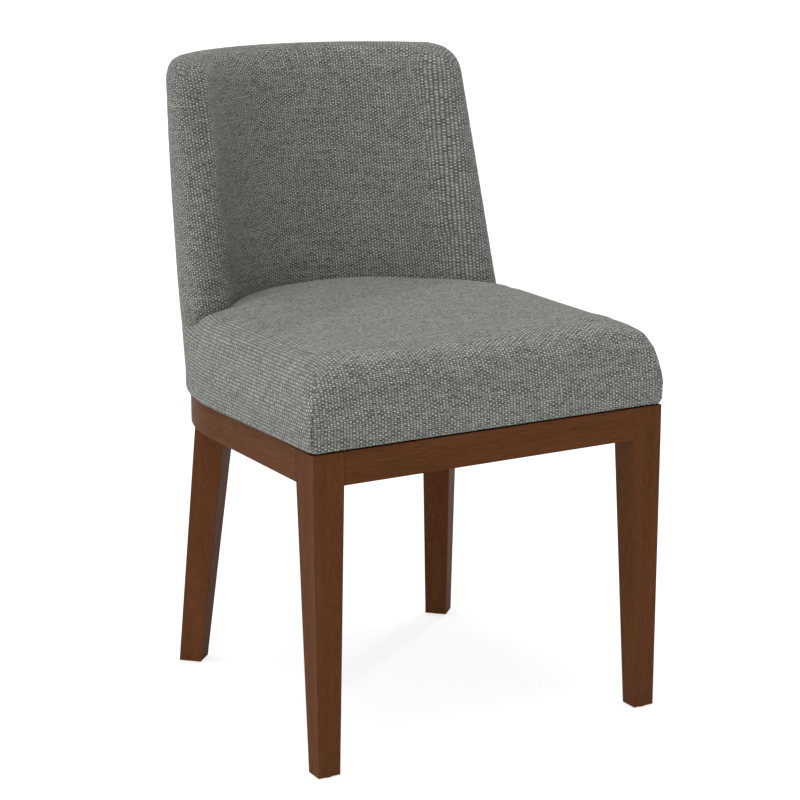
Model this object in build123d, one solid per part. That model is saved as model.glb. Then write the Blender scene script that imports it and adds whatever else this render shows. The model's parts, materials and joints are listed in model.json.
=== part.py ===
from build123d import *
import os
from math import asin, atan2, cos, degrees, radians, sin, sqrt

# An upholstered dining chair in millimetres. X is the chair's width, Y runs from the front rail's face
# to the rear, Z is up from the floor. Left and right are the sitter's, so left is +X.

# Base frame: a front rail, two side rails and a rear rail, straight sided and half round at the rear
BASE_WIDTH = 488.5
RAIL_TOP = 394.0
RAIL_HEIGHT = 40.0
RAIL_THICKNESS = 20.0
ROUND_START = 270.0
EDGE_EASE = 0.8

# Front legs, flush with the rails and tapered below them
FRONT_LEG_WIDTH = 41.0
FRONT_LEG_DEPTH = 42.0
FRONT_FOOT_WIDTH = 29.0
FRONT_FOOT_DEPTH = 25.5
FRONT_FOOT_INSET = 2.9
FRONT_FOOT_ADVANCE = 2.6

# Rear legs, turned in plan and splayed outwards and back under the half-round rails
REAR_LEG_SIDE = 41.3
REAR_FOOT_SIDE = 30.0
REAR_LEG_TURN = 45.0
REAR_LEG_ANGLE = 38.9
REAR_LEG_INSET = 26.0
REAR_FOOT_OUT = 22.0
REAR_FOOT_BACK = 39.0

# Glides nailed under the legs
GLIDE_RADIUS = 10.0
GLIDE_THICKNESS = 2.0
GLIDE_PIN_RADIUS = 1.5
GLIDE_PIN_LENGTH = 14.0

# Joinery
DOWEL_RADIUS = 4.0
DOWEL_LENGTH = 38.0
DOWEL_SPACING = 18.0
SPLINE_THICKNESS = 5.0
SPLINE_LENGTH = 26.0
SPLINE_HEIGHT = 28.0
FIT = 0.1

# Corner blocks and their screws
BLOCK_RECESS = 14.0
FRONT_BLOCK_REACH = 62.0
REAR_BLOCK_WIDTH = 116.0
REAR_BLOCK_DEPTH = 40.0
BLOCK_GLUE_GAP = 0.2
SCREW_RADIUS = 2.2
SCREW_HEAD_RADIUS = 4.2
SCREW_HEAD_HEIGHT = 2.6
SCREW_POCKET = 7.0
SCREW_BITE = 13.0
SEAT_SCREW_OFFSET = 8.0
SEAT_SCREW_SHIFT = 21.0
DRIVER_WAY = 120.0
REAR_SCREW_SPREAD = 84.0

# Hanger bolts that hold the rear legs under their corner blocks
BOLT_RADIUS = 4.0
BOLT_DEPTH = 45.0
BOLT_PROUD = 3.0
BOLT_INSET = 13.0
NUT_ACROSS = 13.0
NUT_HEIGHT = 6.5
WASHER_RADIUS = 10.0
WASHER_THICKNESS = 1.6

# Seat frame, webbing and underlining
DUST_COVER = 0.8
DUST_COVER_INSET = 8.0
STAPLE_WIDTH = 10.0
STAPLE_LEG = 7.0
STAPLE_WIRE = 1.0
STAPLE_TURN = 24.0
STAPLE_FRONT_SPACING = 80.0
STAPLE_SIDE_SPACING = 50.0
SEAT_BAR_WIDTH = 62.0
SEAT_BAR_THICKNESS = 18.0
SEAT_BAR_INSET = 16.0
WEB_WIDTH = 50.0
WEB_THICKNESS = 1.2
WEB_OVERLAP = 45.0
WEB_GAP = 0.3
WEB_CROSS_COUNT = 4

# Upholstered forms: the cloth stands a little proud of the wood
CLOTH_FRONT_OVERHANG = 2.8
CLOTH_SIDE_OVERHANG = 2.6
CLOTH_REAR_OVERHANG = 5.4
CLOTH = 1.6
WADDING = 8.0
LAYER_GAP = 0.3

# Seat form: edge roll at the bottom, a leaning side, a rounded upper edge and a crown
SEAT_CROWN_TOP = 502.0
SEAT_CROWN = 14.0
SEAT_EDGE_HEIGHT = 42.0
SEAT_EDGE_SHARE = 0.6
SEAT_HEM_ROLL = 7.0
SEAT_HEM_TUCK = 4.0
SEAT_SIDE_LEAN = 4.0
SEAT_FRONT_LEAN = 8.0
SEAT_EDGE_ROUND = 36.0
SEAT_CROWN_FLAT = 60.0
SEAT_CORNER_RADIUS = 9.0
SEAT_CORNER_SOFT = 40.0
SEAT_EDGE_TURNS = (25, 45, 65, 82)
SEAT_CROWN_PARTS = (0.3, 0.6, 1.0)

# Back form: a half-round wall with wings, reclined, with a soft top
BACK_ABOVE_SIDE = 16.0
BACK_TOP = 806.0
BACK_OUTER_RECLINE = 0.0966
BACK_OUTER_FLARE = 0.0194
BACK_INNER_LEVEL = 500.0
BACK_WALL = 56.3
BACK_INNER_FORWARD = 19.5
BACK_INNER_RECLINE = 0.1904
BACK_INNER_FLARE = 0.0185
WING_LEVEL = 490.0
WING_SETBACK = 71.2
WING_RECLINE = 0.2377
WING_OUTER_ROUND = 29.5
WING_INNER_ROUND = 26.0
WING_ROUND_SHARE = 0.3
TOP_ROUND = 17.0
TOP_ROUND_HEIGHT = 28.0
TOP_CORNER_RADIUS = 34.0
TOP_TURNS = (22, 42, 58, 72, 83, 90)
OUTSIDE_PANEL_MARGIN = 39.0
OUTSIDE_PANEL_BELOW_TOP = 24.0
OUTSIDE_PANEL_DEPTH = 5.0

# Hidden back frame
POST_THICKNESS = 25.0
POST_WIDTH = 40.0
POST_BELOW_TOP = 40.0
POST_FROM_WING = 36.0
BACK_RAIL_THICKNESS = 20.0
BACK_RAIL_HEIGHT = 56.0
LOWER_RAIL_CLEARANCE = 10.0
BACK_WEB_WIDTH = 45.0
BACK_WEB_COUNT = 5
BACK_WEB_PITCH = 19.0
BACK_BOARD = 2.5
POST_SCREW_RADIUS = 3.0
POST_SCREW_LENGTH = 70.0
POST_SCREW_HEAD_RADIUS = 5.5
POST_SCREW_HEAD = 3.5
POST_SCREW_SPACING = 18.0
POST_SCREW_RECESS = 2.5

# Values that follow from the sizes above
HALF = BASE_WIDTH / 2
RAIL_BOTTOM = RAIL_TOP - RAIL_HEIGHT
RAIL_MID = RAIL_TOP - RAIL_HEIGHT / 2
RAIL_INSIDE = HALF - RAIL_THICKNESS
BLOCK_HEIGHT = RAIL_HEIGHT - BLOCK_RECESS
LEG_INSIDE = HALF - FRONT_LEG_WIDTH
REAR_LEG_X = (HALF - REAR_LEG_INSET) * cos(radians(REAR_LEG_ANGLE))
REAR_LEG_Y = ROUND_START + (HALF - REAR_LEG_INSET) * sin(radians(REAR_LEG_ANGLE))
SEAT_FLOOR = RAIL_TOP + DUST_COVER
BAR_TOP = SEAT_FLOOR + SEAT_BAR_THICKNESS
BAR_OUTSIDE = HALF - SEAT_BAR_INSET
BAR_INSIDE = BAR_OUTSIDE - SEAT_BAR_WIDTH
BAR_FRONT = SEAT_BAR_INSET
WEB_TOP = BAR_TOP + 2 * WEB_THICKNESS
HEM_TOP = SEAT_FLOOR + SEAT_HEM_ROLL
SEAT_EDGE_TOP = SEAT_CROWN_TOP - SEAT_CROWN
SEAT_SIDE_TOP = SEAT_EDGE_TOP - min(SEAT_EDGE_HEIGHT, SEAT_EDGE_SHARE * (SEAT_EDGE_TOP - HEM_TOP))
BACK_BASE = SEAT_SIDE_TOP + BACK_ABOVE_SIDE
BACK_FOOT = BACK_BASE - SEAT_EDGE_ROUND
BACK_LOWER_RAIL_BOTTOM = SEAT_CROWN_TOP + LOWER_RAIL_CLEARANCE
POST_TOP = BACK_TOP - POST_BELOW_TOP
WING_FRONT = ROUND_START + WING_SETBACK
OUTSIDE_PANEL_HALF = HALF - OUTSIDE_PANEL_MARGIN
OUTSIDE_PANEL_TOP = BACK_TOP - OUTSIDE_PANEL_BELOW_TOP
SIDES = {"left": 1, "right": -1}


def mirrored(solid, side):
    """The left-hand solid, or its mirror image for the right-hand side."""
    if side > 0:
        return solid
    return mirror(solid, Plane.YZ)


def polar(radius, angle, z):
    """A point on a circle round the centre of the half-round rear; the angle runs from +X to +Y."""
    return (radius * cos(radians(angle)), ROUND_START + radius * sin(radians(angle)), z)


def plate(edges, bottom, height):
    """A flat plate from a closed line of edges drawn at height zero."""
    return Pos(0, 0, bottom) * extrude(Face(Wire(edges)), amount=height, dir=(0, 0, 1))


def rod(start, end, radius):
    """A round bar between two points."""
    axis = Vector(end) - Vector(start)
    plane = Plane(origin=start, z_dir=axis)
    return extrude(plane * Circle(radius), amount=axis.length)


def screw(head, tip, radius, head_radius, head_height):
    """A screw with its head's outer face at the first point."""
    axis = (Vector(tip) - Vector(head)).normalized()
    return rod(head, tip, radius) + rod(head, Vector(head) + axis * head_height, head_radius)


def screw_hole(head, tip, radius, head_radius, head_height, pocket):
    """The clearance for a screw, with a pocket that reaches back from its head."""
    axis = (Vector(tip) - Vector(head)).normalized()
    far = Vector(tip) + axis * FIT
    shank = rod(head, far, radius + FIT)
    seat = rod(Vector(head) - axis * pocket, Vector(head) + axis * (head_height + FIT), head_radius + FIT)
    return shank + seat


def bar_with_round(half, edge, front, rear, bottom, height):
    """A plate between two half-width lines that bends round the rear between two angles."""
    inner = half - edge
    edges = [
        Line((inner, front), (half, front)),
        Line((half, front), (half, ROUND_START)),
        arc_about(half, 0, rear),
        Line(polar(half, rear, 0)[:2], polar(inner, rear, 0)[:2]),
        arc_about(inner, rear, 0),
        Line((inner, ROUND_START), (inner, front)),
    ]
    return plate(edges, bottom, height)


def arc_about(radius, start, end):
    """An arc round the centre of the half-round rear."""
    middle = (start + end) / 2
    return ThreePointArc(polar(radius, start, 0)[:2], polar(radius, middle, 0)[:2], polar(radius, end, 0)[:2])


# Base frame

def front_leg_sections():
    """The left front leg's rounded squares: at the floor end and at the rail."""
    top_x = HALF - FRONT_LEG_WIDTH / 2
    foot_x = HALF - FRONT_FOOT_INSET - FRONT_FOOT_WIDTH / 2
    foot_y = FRONT_FOOT_DEPTH / 2 - FRONT_FOOT_ADVANCE
    top = RectangleRounded(FRONT_LEG_WIDTH, FRONT_LEG_DEPTH, EDGE_EASE)
    foot = RectangleRounded(FRONT_FOOT_WIDTH, FRONT_FOOT_DEPTH, EDGE_EASE)
    return Pos(foot_x, foot_y, GLIDE_THICKNESS) * foot, Pos(top_x, FRONT_LEG_DEPTH / 2, RAIL_BOTTOM) * top


def front_leg():
    foot, top = front_leg_sections()
    leg = loft([foot, top], ruled=True) + extrude(top, amount=RAIL_HEIGHT, dir=(0, 0, 1))
    for dowel in front_dowels():
        leg -= dowel_hole(dowel)
    return leg - glide_hole(foot.center())


def rear_leg_sections():
    top = Rot(0, 0, REAR_LEG_TURN) * RectangleRounded(REAR_LEG_SIDE, REAR_LEG_SIDE, EDGE_EASE)
    foot = Rot(0, 0, REAR_LEG_TURN) * RectangleRounded(REAR_FOOT_SIDE, REAR_FOOT_SIDE, EDGE_EASE)
    foot_place = Pos(REAR_LEG_X + REAR_FOOT_OUT, REAR_LEG_Y + REAR_FOOT_BACK, GLIDE_THICKNESS)
    return foot_place * foot, Pos(REAR_LEG_X, REAR_LEG_Y, RAIL_BOTTOM) * top


def rear_leg():
    foot, top = rear_leg_sections()
    leg = loft([foot, top], ruled=True)
    low, high = hanger_bolt_ends()
    return leg - rod((low[0], low[1], low[2] - FIT), high, BOLT_RADIUS + FIT) - glide_hole(foot.center())


def glide_pin_ends(foot, growth):
    """Lower and upper end of the pin that nails a glide into its foot."""
    top = GLIDE_THICKNESS + GLIDE_PIN_LENGTH + growth
    return (foot.X, foot.Y, GLIDE_THICKNESS), (foot.X, foot.Y, top)


def glide(foot):
    pad = rod((foot.X, foot.Y, 0), (foot.X, foot.Y, GLIDE_THICKNESS), GLIDE_RADIUS)
    return pad + rod(*glide_pin_ends(foot, 0), GLIDE_PIN_RADIUS)


def glide_hole(foot):
    return rod(*glide_pin_ends(foot, FIT), GLIDE_PIN_RADIUS + FIT)


def front_dowels():
    """End points of the left-hand dowels: front rail to leg, then side rail to leg."""
    reach = DOWEL_LENGTH / 2
    middle = RAIL_THICKNESS / 2
    ends = []
    for step in (-0.5, 0.5):
        z = RAIL_MID + step * DOWEL_SPACING
        ends.append(((LEG_INSIDE - reach, middle, z), (LEG_INSIDE + reach, middle, z)))
        side = HALF - middle
        ends.append(((side, FRONT_LEG_DEPTH - reach, z), (side, FRONT_LEG_DEPTH + reach, z)))
    return ends


def dowel_hole(ends):
    """A dowel's hole, a little longer and wider than the dowel."""
    start, end = Vector(ends[0]), Vector(ends[1])
    axis = (end - start).normalized()
    return rod(start - axis * FIT, end + axis * FIT, DOWEL_RADIUS + FIT)


def front_rail():
    rail = Pos(0, RAIL_THICKNESS / 2, RAIL_MID) * Box(2 * LEG_INSIDE, RAIL_THICKNESS, RAIL_HEIGHT)
    for dowel in front_dowels():
        hole = dowel_hole(dowel)
        rail -= hole
        rail -= mirror(hole, Plane.YZ)
    hole = front_block_screw_holes()
    return rail - hole - mirror(hole, Plane.YZ)


def side_rail():
    rail = bar_with_round(HALF, RAIL_THICKNESS, FRONT_LEG_DEPTH, REAR_LEG_ANGLE, RAIL_BOTTOM, RAIL_HEIGHT)
    for dowel in front_dowels():
        rail -= dowel_hole(dowel)
    return rail - front_block_screw_holes() - rear_block_screw_holes() - spline(FIT)


def rear_rail():
    other = 180 - REAR_LEG_ANGLE
    edges = [
        arc_about(HALF, REAR_LEG_ANGLE, other),
        Line(polar(HALF, other, 0)[:2], polar(RAIL_INSIDE, other, 0)[:2]),
        arc_about(RAIL_INSIDE, other, REAR_LEG_ANGLE),
        Line(polar(RAIL_INSIDE, REAR_LEG_ANGLE, 0)[:2], polar(HALF, REAR_LEG_ANGLE, 0)[:2]),
    ]
    rail = plate(edges, RAIL_BOTTOM, RAIL_HEIGHT)
    hole = spline(FIT) + rear_block_screw_holes()
    return rail - hole - mirror(hole, Plane.YZ)


def spline(growth):
    """The loose tongue across the left joint of side rail and rear rail."""
    place = Pos(*polar(HALF - RAIL_THICKNESS / 2, REAR_LEG_ANGLE, RAIL_MID)) * Rot(0, 0, REAR_LEG_ANGLE)
    return place * Box(SPLINE_THICKNESS + growth, SPLINE_LENGTH + growth, SPLINE_HEIGHT + growth)


def front_block_screws():
    """Head and tip of the left front block's two screws, one into each rail."""
    z = RAIL_BOTTOM + BLOCK_HEIGHT / 2
    x = LEG_INSIDE - FRONT_BLOCK_REACH / 2
    y = FRONT_LEG_DEPTH + FRONT_BLOCK_REACH / 2
    to_front = ((x, RAIL_THICKNESS + SCREW_BITE, z), (x, RAIL_THICKNESS - SCREW_BITE, z))
    to_side = ((RAIL_INSIDE - SCREW_BITE, y, z), (RAIL_INSIDE + SCREW_BITE, y, z))
    return [to_front, to_side]


def rear_block_screws():
    """Head and tip of the left rear block's two screws, one into each rail."""
    z = RAIL_BOTTOM + BLOCK_HEIGHT / 2
    turn = degrees(asin(REAR_SCREW_SPREAD / 2 / RAIL_INSIDE))
    ends = []
    for angle in (REAR_LEG_ANGLE - turn, REAR_LEG_ANGLE + turn):
        ends.append((polar(RAIL_INSIDE - SCREW_BITE, angle, z), polar(RAIL_INSIDE + SCREW_BITE, angle, z)))
    return ends


def block_screw_holes(screws):
    """The clearance for a block's two screws, with a way for the driver behind each head."""
    first, second = [
        screw_hole(head, tip, SCREW_RADIUS, SCREW_HEAD_RADIUS, SCREW_HEAD_HEIGHT, DRIVER_WAY)
        for head, tip in screws
    ]
    return first + second


def front_block_screw_holes():
    return block_screw_holes(front_block_screws())


def rear_block_screw_holes():
    return block_screw_holes(rear_block_screws())


def corner_block_front():
    """A block in the corner behind the left front leg, notched round the leg."""
    gap = BLOCK_GLUE_GAP
    front = RAIL_THICKNESS + gap
    side = RAIL_INSIDE - gap
    leg_x = LEG_INSIDE - gap
    leg_y = FRONT_LEG_DEPTH + gap
    corners = [
        (leg_x - FRONT_BLOCK_REACH, front),
        (leg_x, front),
        (leg_x, leg_y),
        (side, leg_y),
        (side, leg_y + FRONT_BLOCK_REACH),
    ]
    edges = [Line(a, b) for a, b in zip(corners, corners[1:] + corners[:1])]
    block = plate(edges, RAIL_BOTTOM, BLOCK_HEIGHT)
    return block - front_block_screw_holes() - seat_screw_hole(front_seat_screw())


def corner_block_rear():
    """A block across the left rear joint, round on its outer face, bored for the leg's bolt."""
    middle = RAIL_INSIDE - REAR_BLOCK_DEPTH / 2
    place = Pos(*polar(middle, REAR_LEG_ANGLE, RAIL_BOTTOM + BLOCK_HEIGHT / 2)) * Rot(0, 0, REAR_LEG_ANGLE)
    block = place * Box(REAR_BLOCK_DEPTH, REAR_BLOCK_WIDTH, BLOCK_HEIGHT)
    block &= rod((0, ROUND_START, RAIL_BOTTOM), (0, ROUND_START, RAIL_TOP), RAIL_INSIDE - BLOCK_GLUE_GAP)
    low, high = hanger_bolt_ends()
    block -= rod(low, high, BOLT_RADIUS + FIT)
    return block - rear_block_screw_holes() - seat_screw_hole(rear_seat_screw())


def hanger_bolt_ends():
    """Lower and upper end of the left rear leg's bolt, inside the rails and through the block."""
    radius = RAIL_INSIDE - BOLT_INSET
    top = RAIL_BOTTOM + BLOCK_HEIGHT + WASHER_THICKNESS + NUT_HEIGHT + BOLT_PROUD
    return polar(radius, REAR_LEG_ANGLE, RAIL_BOTTOM - BOLT_DEPTH), polar(radius, REAR_LEG_ANGLE, top)


def hanger_washer():
    low, high = hanger_bolt_ends()
    bottom = RAIL_BOTTOM + BLOCK_HEIGHT
    disc = rod((low[0], low[1], bottom), (low[0], low[1], bottom + WASHER_THICKNESS), WASHER_RADIUS)
    return disc - rod(low, high, BOLT_RADIUS + FIT)


def hanger_nut():
    low, high = hanger_bolt_ends()
    bottom = RAIL_BOTTOM + BLOCK_HEIGHT + WASHER_THICKNESS
    hexagon = RegularPolygon(NUT_ACROSS / 2, 6, major_radius=False)
    nut = extrude(Pos(low[0], low[1], bottom) * hexagon, amount=NUT_HEIGHT)
    return nut - rod(low, high, BOLT_RADIUS + FIT)


# Seat frame

def front_seat_screw():
    """Head and tip of the screw from the left front block up into the seat frame."""
    x = LEG_INSIDE - SEAT_SCREW_OFFSET
    y = FRONT_LEG_DEPTH + SEAT_SCREW_OFFSET
    return (x, y, RAIL_BOTTOM + SCREW_POCKET), (x, y, SEAT_FLOOR + SCREW_BITE)


def rear_seat_screw():
    """Head and tip of the screw from the left rear block up into the seat frame."""
    turn = degrees(asin(SEAT_SCREW_SHIFT / RAIL_INSIDE))
    x, y, z = polar(RAIL_INSIDE - BOLT_INSET, REAR_LEG_ANGLE + turn, RAIL_BOTTOM + SCREW_POCKET)
    return (x, y, z), (x, y, SEAT_FLOOR + SCREW_BITE)


def seat_screw_hole(ends):
    return screw_hole(ends[0], ends[1], SCREW_RADIUS, SCREW_HEAD_RADIUS, SCREW_HEAD_HEIGHT, SCREW_POCKET)


def all_seat_screws():
    """The four screws that hold the seat frame down, left then right at the front and rear."""
    screws = []
    for head, tip in (front_seat_screw(), rear_seat_screw()):
        for side in SIDES.values():
            screws.append(((head[0] * side, head[1], head[2]), (tip[0] * side, tip[1], tip[2])))
    return screws


def seat_dowels():
    """End points of the left-hand seat frame dowels, front bar and rear bar to side bar."""
    reach = DOWEL_LENGTH / 2
    z = SEAT_FLOOR + SEAT_BAR_THICKNESS / 2
    ends = []
    for step in (-1, 1):
        x = (BAR_INSIDE + BAR_OUTSIDE) / 2 + step * DOWEL_SPACING
        for y in (BAR_FRONT + SEAT_BAR_WIDTH, ROUND_START):
            ends.append(((x, y - reach, z), (x, y + reach, z)))
    return ends


def less_seat_holes(bar):
    for dowel in seat_dowels():
        hole = dowel_hole(dowel)
        bar -= hole
        bar -= mirror(hole, Plane.YZ)
    for screw_ends in all_seat_screws():
        bar -= seat_screw_hole(screw_ends)
    for hole in dust_cover_staples(FIT):
        bar -= hole
    return bar


def seat_frame_front():
    middle = (0, BAR_FRONT + SEAT_BAR_WIDTH / 2, SEAT_FLOOR + SEAT_BAR_THICKNESS / 2)
    return less_seat_holes(Pos(*middle) * Box(2 * BAR_OUTSIDE, SEAT_BAR_WIDTH, SEAT_BAR_THICKNESS))


def seat_frame_side():
    front = BAR_FRONT + SEAT_BAR_WIDTH
    middle = ((BAR_INSIDE + BAR_OUTSIDE) / 2, (front + ROUND_START) / 2, SEAT_FLOOR + SEAT_BAR_THICKNESS / 2)
    return less_seat_holes(Pos(*middle) * Box(SEAT_BAR_WIDTH, ROUND_START - front, SEAT_BAR_THICKNESS))


def seat_frame_rear():
    edges = [
        Line(polar(BAR_INSIDE, 0, 0)[:2], polar(BAR_OUTSIDE, 0, 0)[:2]),
        arc_about(BAR_OUTSIDE, 0, 90),
        arc_about(BAR_OUTSIDE, 90, 180),
        Line(polar(BAR_OUTSIDE, 180, 0)[:2], polar(BAR_INSIDE, 180, 0)[:2]),
        arc_about(BAR_INSIDE, 180, 90),
        arc_about(BAR_INSIDE, 90, 0),
    ]
    bar = less_seat_holes(plate(edges, SEAT_FLOOR, SEAT_BAR_THICKNESS))
    for side in SIDES.values():
        for ends in post_screws():
            bar -= mirrored(post_screw_hole(ends), side)
    return bar


def dust_cover():
    half = HALF - DUST_COVER_INSET
    edges = [
        Line((-half, DUST_COVER_INSET), (half, DUST_COVER_INSET)),
        Line((half, DUST_COVER_INSET), (half, ROUND_START)),
        arc_about(half, 0, 90),
        arc_about(half, 90, 180),
        Line((-half, ROUND_START), (-half, DUST_COVER_INSET)),
    ]
    sheet = plate(edges, RAIL_TOP, DUST_COVER)
    for ends in all_seat_screws():
        sheet -= seat_screw_hole(ends)
    for hole in dust_cover_staples(FIT):
        sheet -= hole
    return sheet


def staple(x, y, turn, growth):
    """A staple with its crown under the underlining and its legs up in the seat frame."""
    wire = STAPLE_WIRE + growth
    shape = Pos(0, 0, -STAPLE_WIRE / 2) * Box(STAPLE_WIDTH + growth, wire, wire)
    for step in (-0.5, 0.5):
        place = Pos(step * (STAPLE_WIDTH - STAPLE_WIRE), 0, (STAPLE_LEG - STAPLE_WIRE) / 2)
        shape += place * Box(wire, wire, STAPLE_LEG + STAPLE_WIRE + growth)
    return Pos(x, y, RAIL_TOP) * Rot(0, 0, turn) * shape


def dust_cover_staples(growth):
    """Staples along the inside of the rails, clear of the corner blocks."""
    line = RAIL_INSIDE - STAPLE_WIDTH
    side_middle = (FRONT_LEG_DEPTH + ROUND_START) / 2
    staples = []
    for step in (-1, 0, 1):
        staples.append(staple(step * STAPLE_FRONT_SPACING, HALF - line, 0, growth))
        rear = polar(line, 90 + STAPLE_TURN * step, 0)
        staples.append(staple(rear[0], rear[1], STAPLE_TURN * step, growth))
        for side in SIDES.values():
            staples.append(staple(side * line, side_middle + step * STAPLE_SIDE_SPACING, 90, growth))
    return staples


def seat_webbing_cross():
    """Webbing from side bar to side bar."""
    reach = BAR_INSIDE + WEB_OVERLAP
    first = BAR_FRONT + SEAT_BAR_WIDTH + WEB_WIDTH
    straps = []
    for step in range(WEB_CROSS_COUNT):
        y = first + step * (ROUND_START - first) / (WEB_CROSS_COUNT - 1)
        straps.append(Pos(0, y, BAR_TOP + WEB_THICKNESS / 2) * Box(2 * reach, WEB_WIDTH, WEB_THICKNESS))
    return straps


def seat_webbing_long():
    """Webbing from the front bar to the rear bar, laid over the cross straps."""
    front = BAR_FRONT + SEAT_BAR_WIDTH - WEB_OVERLAP
    straps = []
    for step in (-1, 0, 1):
        x = step * BAR_INSIDE / 2
        rear = ROUND_START + sqrt(BAR_INSIDE ** 2 - x ** 2) + WEB_OVERLAP / 2
        middle = (x, (front + rear) / 2, BAR_TOP + WEB_THICKNESS * 1.5)
        straps.append(Pos(*middle) * Box(WEB_WIDTH, rear - front, WEB_THICKNESS))
    return straps


# Seat form

def outer_circle(z):
    """Radius and centre of the back's outer face at a height, from the rail up."""
    rise = z - RAIL_TOP
    radius = HALF + CLOTH_REAR_OVERHANG + BACK_OUTER_FLARE * rise
    return radius, ROUND_START + BACK_OUTER_RECLINE * rise


def seat_levels():
    """Heights of the seat form's sections, each with its side inset, front inset and corner radius."""
    levels = [
        (SEAT_FLOOR, SEAT_HEM_TUCK, SEAT_HEM_TUCK),
        (HEM_TOP, 0, 0),
        ((HEM_TOP + SEAT_SIDE_TOP) / 2, SEAT_SIDE_LEAN / 4, SEAT_FRONT_LEAN / 4),
        (SEAT_SIDE_TOP, SEAT_SIDE_LEAN, SEAT_FRONT_LEAN),
    ]
    for turn in SEAT_EDGE_TURNS:
        inset = SEAT_EDGE_ROUND * (1 - cos(radians(turn)))
        z = SEAT_SIDE_TOP + (SEAT_EDGE_TOP - SEAT_SIDE_TOP) * sin(radians(turn))
        levels.append((z, SEAT_SIDE_LEAN + inset, SEAT_FRONT_LEAN + inset))
    edge = SEAT_SIDE_LEAN + SEAT_EDGE_ROUND
    reach = HALF - edge - SEAT_CROWN_FLAT
    for part in SEAT_CROWN_PARTS:
        rise = (SEAT_CROWN_TOP - SEAT_EDGE_TOP) * sin(radians(90 * part))
        levels.append((SEAT_EDGE_TOP + rise, edge + reach * part, edge + reach * part))
    return levels


def seat_section(z, side_inset, front_inset, inset):
    """One flat section of the seat form: straight front, soft corners, round rear."""
    radius, centre = outer_circle(z)
    radius -= side_inset + inset
    half = HALF + CLOTH_SIDE_OVERHANG - side_inset - inset
    front = front_inset + inset - CLOTH_FRONT_OVERHANG
    corner = SEAT_CORNER_RADIUS + min(side_inset, SEAT_CORNER_SOFT)
    knee = corner * (1 - cos(radians(45)))
    edges = [
        Line((corner - half, front), (half - corner, front)),
        ThreePointArc((half - corner, front), (half - knee, front + knee), (half, front + corner)),
        Line((half, front + corner), (radius, centre)),
        ThreePointArc((radius, centre), point_on(radius, centre, 45), (0, centre + radius)),
        ThreePointArc((0, centre + radius), point_on(radius, centre, 135), (-radius, centre)),
        Line((-radius, centre), (-half, front + corner)),
        ThreePointArc((-half, front + corner), (knee - half, front + knee), (corner - half, front)),
    ]
    return Pos(0, 0, z) * Face(Wire(edges))


def point_on(radius, centre, angle):
    return (radius * cos(radians(angle)), centre + radius * sin(radians(angle)))


def seat_form(inset):
    """The seat's outer shape, drawn in all round except at its floor."""
    thickness = SEAT_CROWN_TOP - SEAT_FLOOR
    share = (thickness - inset) / thickness
    sections = []
    for z, side, front in seat_levels():
        sections.append(seat_section(SEAT_FLOOR + (z - SEAT_FLOOR) * share, side, front, inset))
    return loft(sections, ruled=True)


def seat_hollow():
    """The space under the foam that the seat frame and its webbing fill."""
    half = BAR_OUTSIDE + WEB_GAP
    edges = [
        Line((-half, BAR_FRONT - WEB_GAP), (half, BAR_FRONT - WEB_GAP)),
        Line((half, BAR_FRONT - WEB_GAP), (half, ROUND_START)),
        arc_about(half, 0, 90),
        arc_about(half, 90, 180),
        Line((-half, ROUND_START), (-half, BAR_FRONT - WEB_GAP)),
    ]
    return plate(edges, RAIL_TOP, WEB_TOP + WEB_GAP - RAIL_TOP)


def both_posts(growth):
    post = back_post_body(growth)
    return post, mirror(post, Plane.YZ)


def less_posts(solid, growth):
    for post in both_posts(growth):
        solid -= post
    return solid


def seat_cover():
    return less_posts(seat_form(0) - seat_form(CLOTH), LAYER_GAP)


def seat_wadding():
    return less_posts(seat_form(CLOTH + LAYER_GAP) - seat_form(CLOTH + WADDING), LAYER_GAP)


def seat_foam():
    return less_posts(seat_form(CLOTH + WADDING + LAYER_GAP) - seat_hollow(), LAYER_GAP)


# Back form

def inner_circle(z):
    """Radius and centre of the back's inner face at a height."""
    radius, centre = outer_circle(BACK_INNER_LEVEL)
    rise = z - BACK_INNER_LEVEL
    inner = radius - BACK_WALL + BACK_INNER_FLARE * rise
    return inner, centre - BACK_INNER_FORWARD + BACK_INNER_RECLINE * rise


def back_levels(inset):
    """Heights of the back form's sections, each with its wall inset and the wing's set-back."""
    top = BACK_TOP - inset
    corner = TOP_CORNER_RADIUS - inset
    levels = [(BACK_FOOT, inset, inset), (top - corner, inset, inset)]
    for turn in TOP_TURNS:
        z = top - corner * (1 - sin(radians(turn)))
        rise = max(z - (BACK_TOP - TOP_ROUND_HEIGHT), 0) / (TOP_ROUND_HEIGHT - inset)
        wall = inset + (TOP_ROUND - inset) * (1 - sqrt(1 - min(rise, 1) ** 2))
        levels.append((z, wall, inset + corner * (1 - cos(radians(turn)))))
    return levels


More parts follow.
